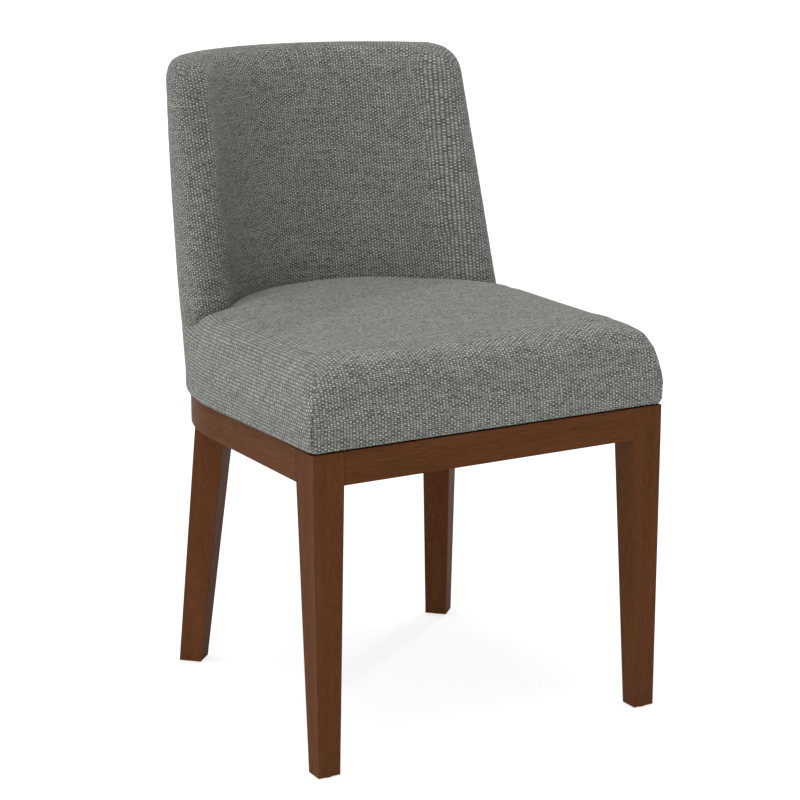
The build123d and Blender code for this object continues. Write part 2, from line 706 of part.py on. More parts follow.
def back_section(z, wall_inset, setback):
    """One flat section of the back: outer arc, rounded wing ends and inner arc."""
    outer, outer_y = outer_circle(z)
    inner, inner_y = inner_circle(z)
    outer -= wall_inset
    inner += wall_inset
    front = WING_FRONT + WING_RECLINE * (z - WING_LEVEL) + setback
    width = across(outer, outer_y, front) - across(inner, inner_y, front)
    out_round = min(WING_OUTER_ROUND, width * WING_ROUND_SHARE)
    in_round = min(WING_INNER_ROUND, width * WING_ROUND_SHARE)
    out_x = across(outer - out_round, outer_y, front + out_round)
    in_x = across(inner + in_round, inner_y, front + in_round)
    out_turn = degrees(atan2(front + out_round - outer_y, out_x))
    in_turn = degrees(atan2(front + in_round - inner_y, in_x))
    out_end = point_on(outer, outer_y, out_turn)
    in_end = point_on(inner, inner_y, in_turn)
    out_knee = turned(out_x, front + out_round, out_round, (out_turn - 90) / 2)
    in_knee = turned(in_x, front + in_round, in_round, (in_turn - 270) / 2)

    def flip(point):
        return (-point[0], point[1])

    edges = [
        ThreePointArc(flip(out_end), (0, outer_y + outer), out_end),
        ThreePointArc(out_end, out_knee, (out_x, front)),
        Line((out_x, front), (in_x, front)),
        ThreePointArc((in_x, front), in_knee, in_end),
        ThreePointArc(in_end, (0, inner_y + inner), flip(in_end)),
        ThreePointArc(flip(in_end), flip(in_knee), (-in_x, front)),
        Line((-in_x, front), (-out_x, front)),
        ThreePointArc((-out_x, front), flip(out_knee), flip(out_end)),
    ]
    return Pos(0, 0, z) * Face(Wire(edges))


def turned(x, y, radius, angle):
    """A point on a small circle about a given middle."""
    return (x + radius * cos(radians(angle)), y + radius * sin(radians(angle)))


def across(radius, centre, y):
    """Half the width of a circle at a given depth."""
    return sqrt(radius ** 2 - (y - centre) ** 2)


def back_form(inset):
    """The back's outer shape, drawn in all round; its lower end runs down into the seat form."""
    return loft([back_section(*level) for level in back_levels(inset)], ruled=True)


def above_seat(solid):
    """What of the back stands above the seat form and above the back's lower edge."""
    middle = (0, ROUND_START, (BACK_BASE + BACK_TOP) / 2)
    room = Pos(*middle) * Box(2 * BASE_WIDTH, 2 * BASE_WIDTH, BACK_TOP - BACK_BASE)
    return (solid & room) - seat_form(-LAYER_GAP)


def band(bottom, top, depth_from, depth_to, turn):
    """A curved wall inside the back, measured in from mid-thickness, between two angles off the rear."""
    faces = []
    for z in (bottom, top):
        radius, centre = mid_circle(z)
        near, far = radius + depth_from, radius + depth_to
        first, last = 90 - turn, 90 + turn
        edges = [
            ThreePointArc(point_on(far, centre, first), (0, centre + far), point_on(far, centre, last)),
            Line(point_on(far, centre, last), point_on(near, centre, last)),
            ThreePointArc(point_on(near, centre, last), (0, centre + near), point_on(near, centre, first)),
            Line(point_on(near, centre, first), point_on(far, centre, first)),
        ]
        faces.append(Pos(0, 0, z) * Face(Wire(edges)))
    return loft(faces, ruled=True)


def mid_circle(z):
    """Radius and centre of the middle of the back's wall at a height."""
    outer, outer_y = outer_circle(z)
    inner, inner_y = inner_circle(z)
    return (outer + inner) / 2, (outer_y + inner_y) / 2


def post_turn(z):
    """The angle off +X at which the left post's middle stands at a height."""
    radius, centre = mid_circle(z)
    front = WING_FRONT + WING_RECLINE * (z - WING_LEVEL)
    return degrees(asin((front + POST_FROM_WING - centre) / radius))


def post_middle(z):
    """The middle of the left post at a height, on a straight line up from the seat frame."""
    ends = []
    for level in (BAR_TOP, POST_TOP):
        radius, centre = mid_circle(level)
        ends.append(Vector(*point_on(radius, centre, post_turn(level)), level))
    return ends[0] + (ends[1] - ends[0]) * ((z - BAR_TOP) / (POST_TOP - BAR_TOP))


def post_facing():
    """The angle off +X that the left post's outer face looks along."""
    return post_turn((BAR_TOP + POST_TOP) / 2)


def back_post_body(growth):
    """The left post: a rectangle that follows the wall up from the seat frame, optionally grown."""
    faces = []
    for z in (BAR_TOP - growth, POST_TOP + growth):
        shape = Rectangle(POST_THICKNESS + 2 * growth, POST_WIDTH + 2 * growth)
        faces.append(Location(post_middle(z)) * Rot(0, 0, post_facing()) * shape)
    return loft(faces, ruled=True)


def post_screws():
    """Head and tip of the left post's two screws, up through the seat frame along the post."""
    turn = radians(post_facing())
    along = Vector(-sin(turn), cos(turn), 0)
    low = post_middle(SEAT_FLOOR + POST_SCREW_RECESS)
    high = post_middle(SEAT_FLOOR + POST_SCREW_RECESS + POST_SCREW_LENGTH)
    ends = []
    for step in (-0.5, 0.5):
        shift = along * (step * POST_SCREW_SPACING)
        ends.append((low + shift, high + shift))
    return ends


def post_screw_hole(ends):
    head, tip = ends
    sizes = (POST_SCREW_RADIUS, POST_SCREW_HEAD_RADIUS, POST_SCREW_HEAD)
    return screw_hole(head, tip, *sizes, POST_SCREW_RECESS)


def back_dowels():
    """End points of the left-hand dowels between the post and the two back rails."""
    ends = []
    for z in back_rail_middles():
        turn = radians(post_facing())
        along = Vector(-sin(turn), cos(turn), 0)
        joint = post_middle(z) + along * (POST_WIDTH / 2)
        ends.append((joint - along * (DOWEL_LENGTH / 2), joint + along * (DOWEL_LENGTH / 2)))
    return ends


def back_rail_middles():
    return (BACK_LOWER_RAIL_BOTTOM + BACK_RAIL_HEIGHT / 2, POST_TOP - BACK_RAIL_HEIGHT / 2)


def back_post():
    post = back_post_body(0)
    for ends in post_screws():
        post -= post_screw_hole(ends)
    for ends in back_dowels():
        post -= dowel_hole(ends)
    return post


def back_rail(middle):
    half = BACK_RAIL_THICKNESS / 2
    turn = 90 - post_turn(middle)
    rail = band(middle - BACK_RAIL_HEIGHT / 2, middle + BACK_RAIL_HEIGHT / 2, -half, half, turn)
    rail = less_posts(rail, FIT)
    for ends in back_dowels():
        hole = dowel_hole(ends)
        rail -= hole
        rail -= mirror(hole, Plane.YZ)
    return max(rail.solids(), key=lambda solid: solid.volume)


def back_webbing():
    """Straps from the lower rail to the top rail, against the rails' inner faces."""
    straps = []
    for step in range(BACK_WEB_COUNT):
        turn = (step - (BACK_WEB_COUNT - 1) / 2) * BACK_WEB_PITCH
        faces = []
        for z in (BACK_LOWER_RAIL_BOTTOM, POST_TOP):
            radius, centre = mid_circle(z)
            face = radius - BACK_RAIL_THICKNESS / 2
            depth = sqrt(face ** 2 - (BACK_WEB_WIDTH / 2) ** 2) - WEB_GAP - WEB_THICKNESS / 2
            x, y = point_on(depth, centre, 90 + turn)
            faces.append(Pos(x, y, z) * Rot(0, 0, turn) * Rectangle(BACK_WEB_WIDTH, WEB_THICKNESS))
        straps.append(loft(faces, ruled=True))
    return straps


def back_board():
    """The thin outside panel behind the rails."""
    near = BACK_RAIL_THICKNESS / 2 + WEB_GAP
    turn = 90 - post_turn(BACK_LOWER_RAIL_BOTTOM) - degrees(POST_WIDTH / 2 / HALF)
    return less_posts(band(BACK_LOWER_RAIL_BOTTOM, POST_TOP, near, near + BACK_BOARD, turn), FIT)


def back_hollow():
    """The space inside the foam that the back frame, webbing and board fill."""
    bow = BACK_WEB_WIDTH ** 2 / 8 / inner_circle(BACK_INNER_LEVEL)[0]
    near = -BACK_RAIL_THICKNESS / 2 - WEB_THICKNESS - 4 * WEB_GAP - bow
    far = BACK_RAIL_THICKNESS / 2 + BACK_BOARD + 2 * WEB_GAP
    return band(BACK_FOOT, POST_TOP + LAYER_GAP, near, far, 90 - post_turn(WING_LEVEL))


def back_foam():
    foam = back_form(CLOTH + WADDING + LAYER_GAP) - back_hollow()
    return less_posts(above_seat(foam), LAYER_GAP)


def back_wadding():
    return above_seat(back_form(CLOTH + LAYER_GAP) - back_form(CLOTH + WADDING))


def outside_panel_zone():
    """The part of the back's outer skin that is the separate outside panel."""
    disc = []
    for growth in (OUTSIDE_PANEL_DEPTH, -OUTSIDE_PANEL_DEPTH):
        faces = []
        for z in (BACK_FOOT, OUTSIDE_PANEL_TOP):
            radius, centre = outer_circle(z)
            faces.append(Pos(0, centre, z) * Circle(radius + growth))
        disc.append(loft(faces, ruled=True))
    room = Pos(0, ROUND_START + HALF, BACK_TOP / 2) * Box(2 * OUTSIDE_PANEL_HALF, BASE_WIDTH, BACK_TOP)
    return (disc[0] - disc[1]) & room


def back_skin():
    return above_seat(back_form(0) - back_form(CLOTH))


def placed(solid, offset):
    return Pos(0, offset, 0) * solid


def write(name, shapes, offset):
    """Write one node, a single solid or a group of like solids."""
    solids = []
    for shape in shapes:
        solids.extend(placed(shape, offset).solids())
    body = solids[0] if len(solids) == 1 else Compound(children=solids)
    export_step(body, os.path.join("parts", name + ".step"))


def paired(solids):
    """The given left-hand solids and their mirror images."""
    return [mirrored(solid, side) for side in SIDES.values() for solid in solids]


def main():
    os.makedirs("parts", exist_ok=True)
    rear = max(sum(outer_circle(z)) - wall for z, wall, setback in back_levels(0))
    offset = (CLOTH_FRONT_OVERHANG - rear) / 2

    for name, side in SIDES.items():
        write("front_leg_" + name, [mirrored(front_leg(), side)], offset)
        write("rear_leg_" + name, [mirrored(rear_leg(), side)], offset)
        write("side_rail_" + name, [mirrored(side_rail(), side)], offset)
        write("corner_block_front_" + name, [mirrored(corner_block_front(), side)], offset)
        write("corner_block_rear_" + name, [mirrored(corner_block_rear(), side)], offset)
        write("seat_frame_" + name, [mirrored(seat_frame_side(), side)], offset)
        write("back_post_" + name, [mirrored(back_post(), side)], offset)
    write("front_rail", [front_rail()], offset)
    write("rear_rail", [rear_rail()], offset)
    feet = [front_leg_sections()[0].center(), rear_leg_sections()[0].center()]
    write("leg_glides", paired([glide(foot) for foot in feet]), offset)
    write("rail_dowels", paired([rod(a, b, DOWEL_RADIUS) for a, b in front_dowels()]), offset)
    write("rail_splines", paired([spline(0)]), offset)
    block_screws = [
        screw(head, tip, SCREW_RADIUS, SCREW_HEAD_RADIUS, SCREW_HEAD_HEIGHT)
        for head, tip in front_block_screws() + rear_block_screws()
    ]
    write("corner_block_screws", paired(block_screws), offset)
    write("rear_leg_bolts", paired([rod(*hanger_bolt_ends(), BOLT_RADIUS)]), offset)
    write("rear_leg_washers", paired([hanger_washer()]), offset)
    write("rear_leg_nuts", paired([hanger_nut()]), offset)

    write("seat_frame_front", [seat_frame_front()], offset)
    write("seat_frame_rear", [seat_frame_rear()], offset)
    write("seat_frame_dowels", paired([rod(a, b, DOWEL_RADIUS) for a, b in seat_dowels()]), offset)
    seat_screws = [
        screw(head, tip, SCREW_RADIUS, SCREW_HEAD_RADIUS, SCREW_HEAD_HEIGHT)
        for head, tip in all_seat_screws()
    ]
    write("seat_fixing_screws", seat_screws, offset)
    write("dust_cover", [dust_cover()], offset)
    write("dust_cover_staples", dust_cover_staples(0), offset)
    write("seat_webbing_cross", seat_webbing_cross(), offset)
    write("seat_webbing_long", seat_webbing_long(), offset)
    write("seat_foam", [seat_foam()], offset)
    write("seat_wadding", [seat_wadding()], offset)
    write("seat_cover", [seat_cover()], offset)

    lower, upper = back_rail_middles()
    write("back_lower_rail", [back_rail(lower)], offset)
    write("back_top_rail", [back_rail(upper)], offset)
    write("back_rail_dowels", paired([rod(a, b, DOWEL_RADIUS) for a, b in back_dowels()]), offset)
    post_screw_solids = [
        screw(head, tip, POST_SCREW_RADIUS, POST_SCREW_HEAD_RADIUS, POST_SCREW_HEAD)
        for head, tip in post_screws()
    ]
    write("back_post_screws", paired(post_screw_solids), offset)
    write("back_webbing", back_webbing(), offset)
    write("back_board", [back_board()], offset)
    write("back_foam", [back_foam()], offset)
    write("back_wadding", [back_wadding()], offset)
    skin = back_skin()
    zone = outside_panel_zone()
    write("back_cover", [skin - zone], offset)
    write("back_outer_cover", [skin & zone], offset)


main()
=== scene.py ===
import json
from math import asin, atan2, cos, hypot, pi, radians, sin, sqrt

import bmesh
import bpy
from bpy.props import FloatProperty, FloatVectorProperty, IntProperty, PointerProperty
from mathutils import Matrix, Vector


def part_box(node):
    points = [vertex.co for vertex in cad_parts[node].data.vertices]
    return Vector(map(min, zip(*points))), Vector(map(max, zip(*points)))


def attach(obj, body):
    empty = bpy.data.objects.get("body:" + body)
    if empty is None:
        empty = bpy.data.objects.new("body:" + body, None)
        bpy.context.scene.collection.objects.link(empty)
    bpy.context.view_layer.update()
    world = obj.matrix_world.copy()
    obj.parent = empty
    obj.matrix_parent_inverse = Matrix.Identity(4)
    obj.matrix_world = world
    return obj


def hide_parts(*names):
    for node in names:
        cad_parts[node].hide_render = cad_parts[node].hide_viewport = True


bl_info = {
    "name": "Upholstered dining chair",
    "version": (1, 0, 0),
    "blender": (4, 5, 0),
    "location": "View3D > Sidebar > Chair",
    "description": "Dresses the chair's frame with padded upholstery, stained wood and a plain stage",
    "category": "Object",
}

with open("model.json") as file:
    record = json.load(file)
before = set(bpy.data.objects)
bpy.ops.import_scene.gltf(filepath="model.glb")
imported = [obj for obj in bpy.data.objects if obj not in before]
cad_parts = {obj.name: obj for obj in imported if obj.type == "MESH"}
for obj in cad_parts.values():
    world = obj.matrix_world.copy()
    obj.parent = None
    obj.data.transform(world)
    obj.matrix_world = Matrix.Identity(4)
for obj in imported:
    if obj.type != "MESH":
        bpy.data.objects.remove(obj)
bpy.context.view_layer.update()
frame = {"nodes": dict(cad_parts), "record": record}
BODY = "root"

CLOTH_NODES_SEAT = ("seat_cover", "seat_wadding", "seat_foam")
CLOTH_NODES_BACK = ("back_cover", "back_wadding", "back_foam")
CLOTH_NODES_OUTSIDE = ("back_outer_cover",)
WOOD_ALONG = {
    "x": ("front_rail", "rear_rail"),
    "y": ("side_rail_left", "side_rail_right"),
    "z": ("front_leg_left", "front_leg_right", "rear_leg_left", "rear_leg_right"),
}
SLOT_OF_NODE = {part["node"]: part["material_slot"] for part in frame["record"]["subparts"]}

# Places read from the frame, in metres
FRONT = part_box("front_rail")[0].y
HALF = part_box("side_rail_left")[1].x
RAIL_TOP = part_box("front_rail")[1].z
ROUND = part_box("rear_rail")[1].y - HALF
SEAT_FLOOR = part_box("seat_cover")[0].z
SEAT_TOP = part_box("seat_cover")[1].z
BACK_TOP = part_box("back_cover")[1].z
BACK_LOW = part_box("back_outer_cover")[0].z
PANEL_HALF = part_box("back_outer_cover")[1].x
PANEL_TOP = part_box("back_outer_cover")[1].z

# A height near the seat's top, from which the heights of padded shapes are measured
SEAT_LEVEL = 0.5

# The back's two round faces and its wings: where each sits, and how it leans and flares per metre
OUTER_OVERHANG = 0.0054
OUTER_RECLINE = 0.0966
OUTER_FLARE = 0.0194
INNER_WALL = 0.0563
INNER_FORWARD = 0.0195
INNER_RECLINE = 0.1904
INNER_FLARE = 0.0185
WING_LEVEL = SEAT_LEVEL - 0.01
WING_FRONT = ROUND + 0.0712
WING_RECLINE = 0.2377

# The wings' round noses and the back's top edge; shares are of the wall's thickness
MID_WALL = 0.5
WING_CORNER_SHARE = 0.3
NOSE_INNER_SHARE = 0.42
NOSE_OUTER_SHARE = 0.5
NOSE_SETBACK = 0.002
NOSE_RECLINE = 0.022
NOSE_FADE = (0.02, 0.11)
TOP_LIFT = 0.0012
TOP_LIFT_RANGE = (BACK_TOP - 0.06, BACK_TOP)

# The back's foot, which is pushed down into the seat
FOOT_TUCK = 0.009
FOOT_TOP = SEAT_TOP + 0.02
FOOT_FACING = -0.3
FOOT_SHARE = (0.75, 0.95)

# The outside panel, whose border is turned in against the padded back
PANEL_LOW = BACK_LOW + 0.001
PANEL_PROUD = 0.0004
PANEL_TURN_IN = 0.0022
PANEL_BORDER = (0.965, 1.0)
PANEL_THICKNESS = 0.0016
PANEL_COLUMNS = 72
PANEL_ROWS = 56

# The seat's walls, its round upper edge and its front corners
SIDE_OVERHANG = 0.0026
FRONT_OVERHANG = 0.0028
EDGE_REACH = 0.042
EDGE_TOP = SEAT_TOP - 0.014
EDGE_LOW = EDGE_TOP - EDGE_REACH
CAD_CORNER = 0.009
SEAT_CORNER = 0.005
SEAT_CORNER_SHARE = 0.8

# How the seat's padding stands past its CAD form: its walls, corners, side edges, rear and front
WALL_DEPTH = 0.03
WALL_BULGE = 0.003
CORNER_BULGE = 0.005
CORNER_DIAGONAL = 0.7
SIDE_LIFT = 0.007
REAR_LIFT = 0.007
FRONT_CROWN_START = 0.0005
FRONT_CROWN_REACH = 0.045
FRONT_CROWN_RISE = 0.051
CAD_CROWN_REACH = 0.25

# Stretches over which those shapes come in or fade out, from and to
BOW_FROM_HEM = (RAIL_TOP, SEAT_LEVEL - 0.05)
BOW_TO_EDGE = (SEAT_LEVEL - 0.024, SEAT_LEVEL - 0.006)
BOW_TO_WING = (WING_FRONT - 0.07, WING_FRONT - 0.02)
CORNER_FADE = (0.012, 0.06)
LIFT_FROM_EDGE = (0.0, 0.03)
LIFT_TO_CROWN = (0.045, 0.16)
LIFT_TO_WING = (WING_FRONT - 0.01, WING_FRONT + 0.03)
LIFT_HEIGHT = (SEAT_LEVEL - 0.045, SEAT_LEVEL - 0.025)
FRONT_CROWN_ACROSS = (0.0, 0.14)
REAR_LIFT_ALONG = (0.12, 0.34)
REAR_LIFT_ACROSS = (0.03, 0.12)
REAR_LIFT_HEIGHT = (SEAT_LEVEL - 0.03, SEAT_LEVEL - 0.015)

# The seat's rolled hem, and its wall where the back stands on it
HEM_ROLL = 0.0018
HEM_TOP = RAIL_TOP + 0.008
HEM_FADE = (HEM_TOP, HEM_TOP + 0.014)
HEM_REACH = 0.009
HEM_FACING = 0.25
BACK_WALL_STEP = 0.0008
UNDER_BACK_LOW = EDGE_LOW - 0.02
UNDER_BACK_FADE = (BACK_LOW + 0.012, BACK_LOW + 0.018)
UNDER_WING = (WING_FRONT - 0.04, WING_FRONT)

# The seams that close the seat's front corners
SEAM_FOOT = SEAT_FLOOR + 0.002
SEAM_TOP = SEAT_LEVEL - 0.05
SEAM_FADE = (SEAT_LEVEL - 0.075, SEAM_TOP)
SEAM_REACH = 0.03

# Where the cloth is held, and how far from its pattern it may lie there
HELD_SLACK = 0.0003
HEM_HELD = (SEAT_FLOOR + 0.004, SEAT_FLOOR + 0.03)
UNDERSIDE_FACING = -0.5
INSIDE_DEPTH = 0.01
CORNER_HELD = (0.006, 0.03)
SEAM_HELD = (SEAT_LEVEL - 0.08, SEAM_TOP)
UNDER_BACK_DEPTH = 0.03
UNDER_WING_HELD = (WING_FRONT - 0.05, WING_FRONT)
FOOT_HELD = (SEAT_LEVEL, SEAT_LEVEL + 0.025)
LOWER_EDGE_HELD = (BACK_LOW + 0.004, BACK_LOW + 0.02)
OUTSIDE_SHARE = 0.85
PANEL_MARGIN = 0.012

# The filling of the padding
SOFTEN_ROUNDS = 2
SOFTEN_FACTOR = 0.5
CLOTH_QUALITY = 4
CLOTH_MASS = 0.25

# The weave: its map, the back's finer scale, its noises, how its yarns are rounded and toned, and the
# painted shade in the gaps between them
WEAVE_MAP = "weave"
CLOTH_FINISH = "woven_cloth"
BACK_CLOTH_SCALE = 1.11
STRAY_SCALE = 90.0
FIBRE_SCALE = 900.0
WARP_ROUNDING = (1.5, 0.9)
WEFT_ROUNDING = (0.3, 1.6)
WEFT_HEIGHT = 0.58
FIBRE_HEIGHT = 0.3
GAP_SHADE_RANGE = (0.2, 0.85)
STREAK_RANGE = (0.55, 0.75)
STREAK_MOST = 0.7
LINT_RANGE = (0.25, 0.75)
LINT_SHADES = (0.5, 1.5)
CLOTH_ROUGHNESS = (0.82, 0.96)

# Where a grain's values mostly lie
GRAIN_RANGE = (0.3, 0.7)

# The stage, in metres, and the camera's sensor in millimetres
FLOOR_HALF = 40.0
LIGHT_DISTANCE = 3.0
SENSOR_WIDTH = 36.0

# Distances under which points are one point, and the least length for a ratio or an angle
MERGE_DISTANCE = 0.00001
SEAM_MERGE = 0.00002
LEAST_LENGTH = 0.0001


class ChairCloth(bpy.types.PropertyGroup):
    """The upholstery cloth's weave and colours."""
    warp_pitch: FloatProperty(
        name="Warp pitch", description="Distance between the yarns that run up the back",
        default=0.0042, min=0.0005, subtype="DISTANCE")
    weft_pitch: FloatProperty(
        name="Weft pitch", description="Distance between the yarns that run across",
        default=0.00228, min=0.0005, subtype="DISTANCE")
    wander: FloatProperty(
        name="Wander", description="How far the threads stray from straight lines",
        default=0.0012, min=0.0, subtype="DISTANCE")
    relief: FloatProperty(
        name="Relief", description="Depth of the weave's bumps",
        default=0.0012, min=0.0, subtype="DISTANCE")
    # The gap colour is painted shade in the low gaps between the yarns, and also the darkest tone of the
    # weft yarns
    gap: FloatVectorProperty(
        name="Gap colour", description="Shade between the yarns",
        default=(0.063, 0.066, 0.0575), subtype="COLOR", min=0.0, max=1.0)
    weft: FloatVectorProperty(
        name="Weft colour", description="Yarn that runs across",
        default=(0.225, 0.236, 0.215), subtype="COLOR", min=0.0, max=1.0)
    warp: FloatVectorProperty(
        name="Warp colour", description="Yarn that runs up the back",
        default=(0.376, 0.392, 0.356), subtype="COLOR", min=0.0, max=1.0)
    fleck: FloatVectorProperty(
        name="Fleck", description="Pale slubs in the yarn",
        default=(0.55, 0.556, 0.475), subtype="COLOR", min=0.0, max=1.0)


class ChairPadding(bpy.types.PropertyGroup):
    """How the padding is filled."""
    seat_grid: FloatProperty(
        name="Seat grid", description="Size of the seat cloth's grid before it is filled",
        default=0.0056, min=0.003, subtype="DISTANCE")
    back_grid: FloatProperty(
        name="Back grid", description="Size of the back cloth's grid before it is filled",
        default=0.0065, min=0.003, subtype="DISTANCE")
    shrink: FloatProperty(
        name="Shrink", description="How far the form is drawn in before it is filled",
        default=0.0004, min=0.0, subtype="DISTANCE")
    swell: FloatProperty(
        name="Swell", description="Most that a point may move out as the padding fills",
        default=0.003, min=0.0, subtype="DISTANCE")
    slack: FloatProperty(
        name="Slack", description="Most that the filled cloth may lie off its pattern",
        default=0.0012, min=0.0, subtype="DISTANCE")
    pressure: FloatProperty(
        name="Pressure", description="Pressure that fills the cloth", default=4.0, min=0.0)
    frames: IntProperty(
        name="Frames", description="Steps of the filling", default=20, min=2, subtype="TIME")
    seam_depth: FloatProperty(
        name="Seam depth", description="How deep a sewn seam pulls in",
        default=0.0035, min=0.0, subtype="DISTANCE")
    seam_width: FloatProperty(
        name="Seam width", description="Half the width of a seam's groove",
        default=0.0016, min=0.0, subtype="DISTANCE")


class ChairWood(bpy.types.PropertyGroup):
    """The base's stain."""
    dark: FloatVectorProperty(
        name="Dark grain", description="Stain in the grain's pores",
        default=(0.069, 0.0239, 0.0087), subtype="COLOR", min=0.0, max=1.0)
    light: FloatVectorProperty(
        name="Light grain", description="Stain between the pores",
        default=(0.11, 0.0411, 0.0161), subtype="COLOR", min=0.0, max=1.0)
    roughness: FloatProperty(
        name="Roughness", description="Satin of the lacquer",
        default=0.48, min=0.0, max=1.0, subtype="FACTOR")


class ChairStage(bpy.types.PropertyGroup):
    """The camera's place and the lights."""
    camera_place: FloatVectorProperty(
        name="Camera",
        description="Place of the camera from the middle of the front rail's face on the floor",
        default=(-1.43139, -2.24235, 1.08648), size=3, subtype="XYZ", unit="LENGTH")
    camera_turn: FloatProperty(
        name="Turn", description="Direction of the camera, off the chair's front",
        default=radians(-30.133), subtype="ANGLE")
    camera_tilt: FloatProperty(
        name="Tilt", description="How far the camera looks down",
        default=radians(13.875), subtype="ANGLE")
    lens: FloatProperty(
        name="Lens", description="Focal length on a 36 mm sensor", default=104.318, unit="CAMERA")
    sky: FloatProperty(
        name="Sky", description="Strength of the soft light from all round", default=0.43, min=0.0)
    side: FloatProperty(
        name="Side light", description="Strength of the broad light from the sitter's right",
        default=2.02, min=0.0)
    left: FloatProperty(
        name="Left light", description="Strength of the low light from the sitter's left",
        default=0.7, min=0.0)
    top: FloatProperty(
        name="Top light", description="Strength of the light from above", default=1.6, min=0.0)
    front: FloatProperty(
        name="Front light", description="Strength of the low light from the front",
        default=0.04, min=0.0)
    floor: FloatProperty(
        name="Floor", description="How strongly the floor shows shadows",
        default=0.35, min=0.0, max=1.0, subtype="FACTOR")
    glow: FloatProperty(
        name="Glow", description="Light that keeps the floor white", default=0.755, min=0.0)


class ChairSettings(bpy.types.PropertyGroup):
    """All the chair's settings."""
    cloth: PointerProperty(
        name="Cloth", description="The upholstery cloth's weave and colours", type=ChairCloth)
    padding: PointerProperty(
        name="Padding", description="How the padding is filled", type=ChairPadding)
    wood: PointerProperty(
        name="Wood", description="The base's stain", type=ChairWood)
    stage: PointerProperty(
        name="Stage", description="The camera's place and the lights", type=ChairStage)


# Parts of finishes

def new_finish(name):
    """A new material, its node tree and its shader."""
    material = bpy.data.materials.new(name)
    material.use_nodes = True
    return material, material.node_tree, material.node_tree.nodes["Principled BSDF"]


def add(tree, kind, inputs, **options):
    """A new node with its options set and its inputs set or linked."""
    made = tree.nodes.new(kind)
    for key, value in options.items():
        setattr(made, key, value)
    for key, value in inputs.items():
        if isinstance(value, bpy.types.NodeSocket):
            tree.links.new(value, made.inputs[key])
        else:
            made.inputs[key].default_value = value
    return made


def calc(tree, operation, first, second=0.0):
    """One sum on one or two values."""
    return add(tree, "ShaderNodeMath", {0: first, 1: second}, operation=operation).outputs[0]


def vector_calc(tree, operation, inputs):
    """One sum on vectors."""
    return add(tree, "ShaderNodeVectorMath", inputs, operation=operation).outputs[0]


def weighed(tree, first, first_share, second, second_share):
    """The sum of two values, each by its own share."""
    first_part = calc(tree, "MULTIPLY", first, first_share)
    return calc(tree, "ADD", first_part, calc(tree, "MULTIPLY", second, second_share))


def between(tree, factor, first, second):
    """A number that goes from the first to the second value with a factor."""
    inputs = {"Factor": factor, 2: first, 3: second}
    return add(tree, "ShaderNodeMix", inputs, data_type="FLOAT").outputs[0]


def blend(tree, factor, first, second):
    """A colour that goes from the first to the second colour with a factor."""
    inputs = {0: factor, 6: first, 7: second}
    return add(tree, "ShaderNodeMix", inputs, data_type="RGBA").outputs[2]


def noise(tree, vector, scale, detail=2.0, roughness=0.5):
    """A soft noise at a place."""
    inputs = {"Vector": vector, "Scale": scale, "Detail": detail, "Roughness": roughness}
    return add(tree, "ShaderNodeTexNoise", inputs)


def grain(tree, scale, detail, coarseness):
    """Noise on the piece's own place, stretched differently along each axis."""
    place = add(tree, "ShaderNodeTexCoord", {}).outputs["Object"]
    laid = add(tree, "ShaderNodeMapping", {"Vector": place, "Scale": scale}).outputs[0]
    return noise(tree, laid, 1.0, detail, coarseness).outputs["Fac"]


def spread(tree, value, low, high, to_low=0.0, to_high=1.0):
    """A value stretched from one range to another, and held within it."""
    inputs = {"Value": value, "From Min": low, "From Max": high, "To Min": to_low, "To Max": to_high}
    return add(tree, "ShaderNodeMapRange", inputs).outputs[0]


def ramp(tree, factor, stops):
    """Colours along a factor; each stop is a place and a colour."""
    made = add(tree, "ShaderNodeValToRGB", {"Fac": factor})
    elements = made.color_ramp.elements
    while len(elements) < len(stops):
        elements.new(0.5)
    for element, (place, colour) in zip(elements, stops):
        element.position = place
        element.color = (*colour, 1.0)
    return made.outputs["Color"]


def finish_surface(tree, shader, colour, roughness, height, distance):
    """Link a finish's colour, roughness and relief to its shader."""
    bump = add(tree, "ShaderNodeBump", {"Strength": 1.0, "Distance": distance, "Height": height})
    tree.links.new(colour, shader.inputs["Base Color"])
    tree.links.new(roughness, shader.inputs["Roughness"])
    tree.links.new(bump.outputs[0], shader.inputs["Normal"])


# Finishes

def weave_places(tree, cloth):
    """A point's place on the flat cloth, and the same counted in yarns, which stray a little."""
    place = add(tree, "ShaderNodeUVMap", {}, uv_map=WEAVE_MAP).outputs[0]
    stray = noise(tree, place, STRAY_SCALE).outputs["Color"]
    centred = vector_calc(tree, "SUBTRACT", {0: stray, 1: (0.5, 0.5, 0.5)})
    shift = vector_calc(tree, "SCALE", {0: centred, "Scale": cloth.wander * 2})
    laid = vector_calc(tree, "ADD", {0: place, 1: shift})
    per_yarn = (1 / cloth.warp_pitch, 1 / cloth.weft_pitch, 1.0)
    return place, vector_calc(tree, "MULTIPLY", {0: laid, 1: per_yarn})


def bulge(tree, crest_a, crest_b, rounding):
    """The round of a yarn between its neighbours, by a power along each way of the weave."""
    first, second = rounding
    return calc(tree, "MULTIPLY", calc(tree, "POWER", crest_a, first), calc(tree, "POWER", crest_b, second))


def plain_weave(tree, across, along):
    """Whether the warp lies on top at a point, and how high the upper yarn bulges there."""
    wave_a = calc(tree, "SINE", calc(tree, "MULTIPLY", across, pi))
    wave_b = calc(tree, "SINE", calc(tree, "MULTIPLY", along, pi))
    warp_up = calc(tree, "GREATER_THAN", calc(tree, "MULTIPLY", wave_a, wave_b))
    crest_a = calc(tree, "ABSOLUTE", wave_a)
    crest_b = calc(tree, "ABSOLUTE", wave_b)
    warp = bulge(tree, crest_a, crest_b, WARP_ROUNDING)
    weft = calc(tree, "MULTIPLY", bulge(tree, crest_a, crest_b, WEFT_ROUNDING), WEFT_HEIGHT)
    return warp_up, between(tree, warp_up, weft, warp)


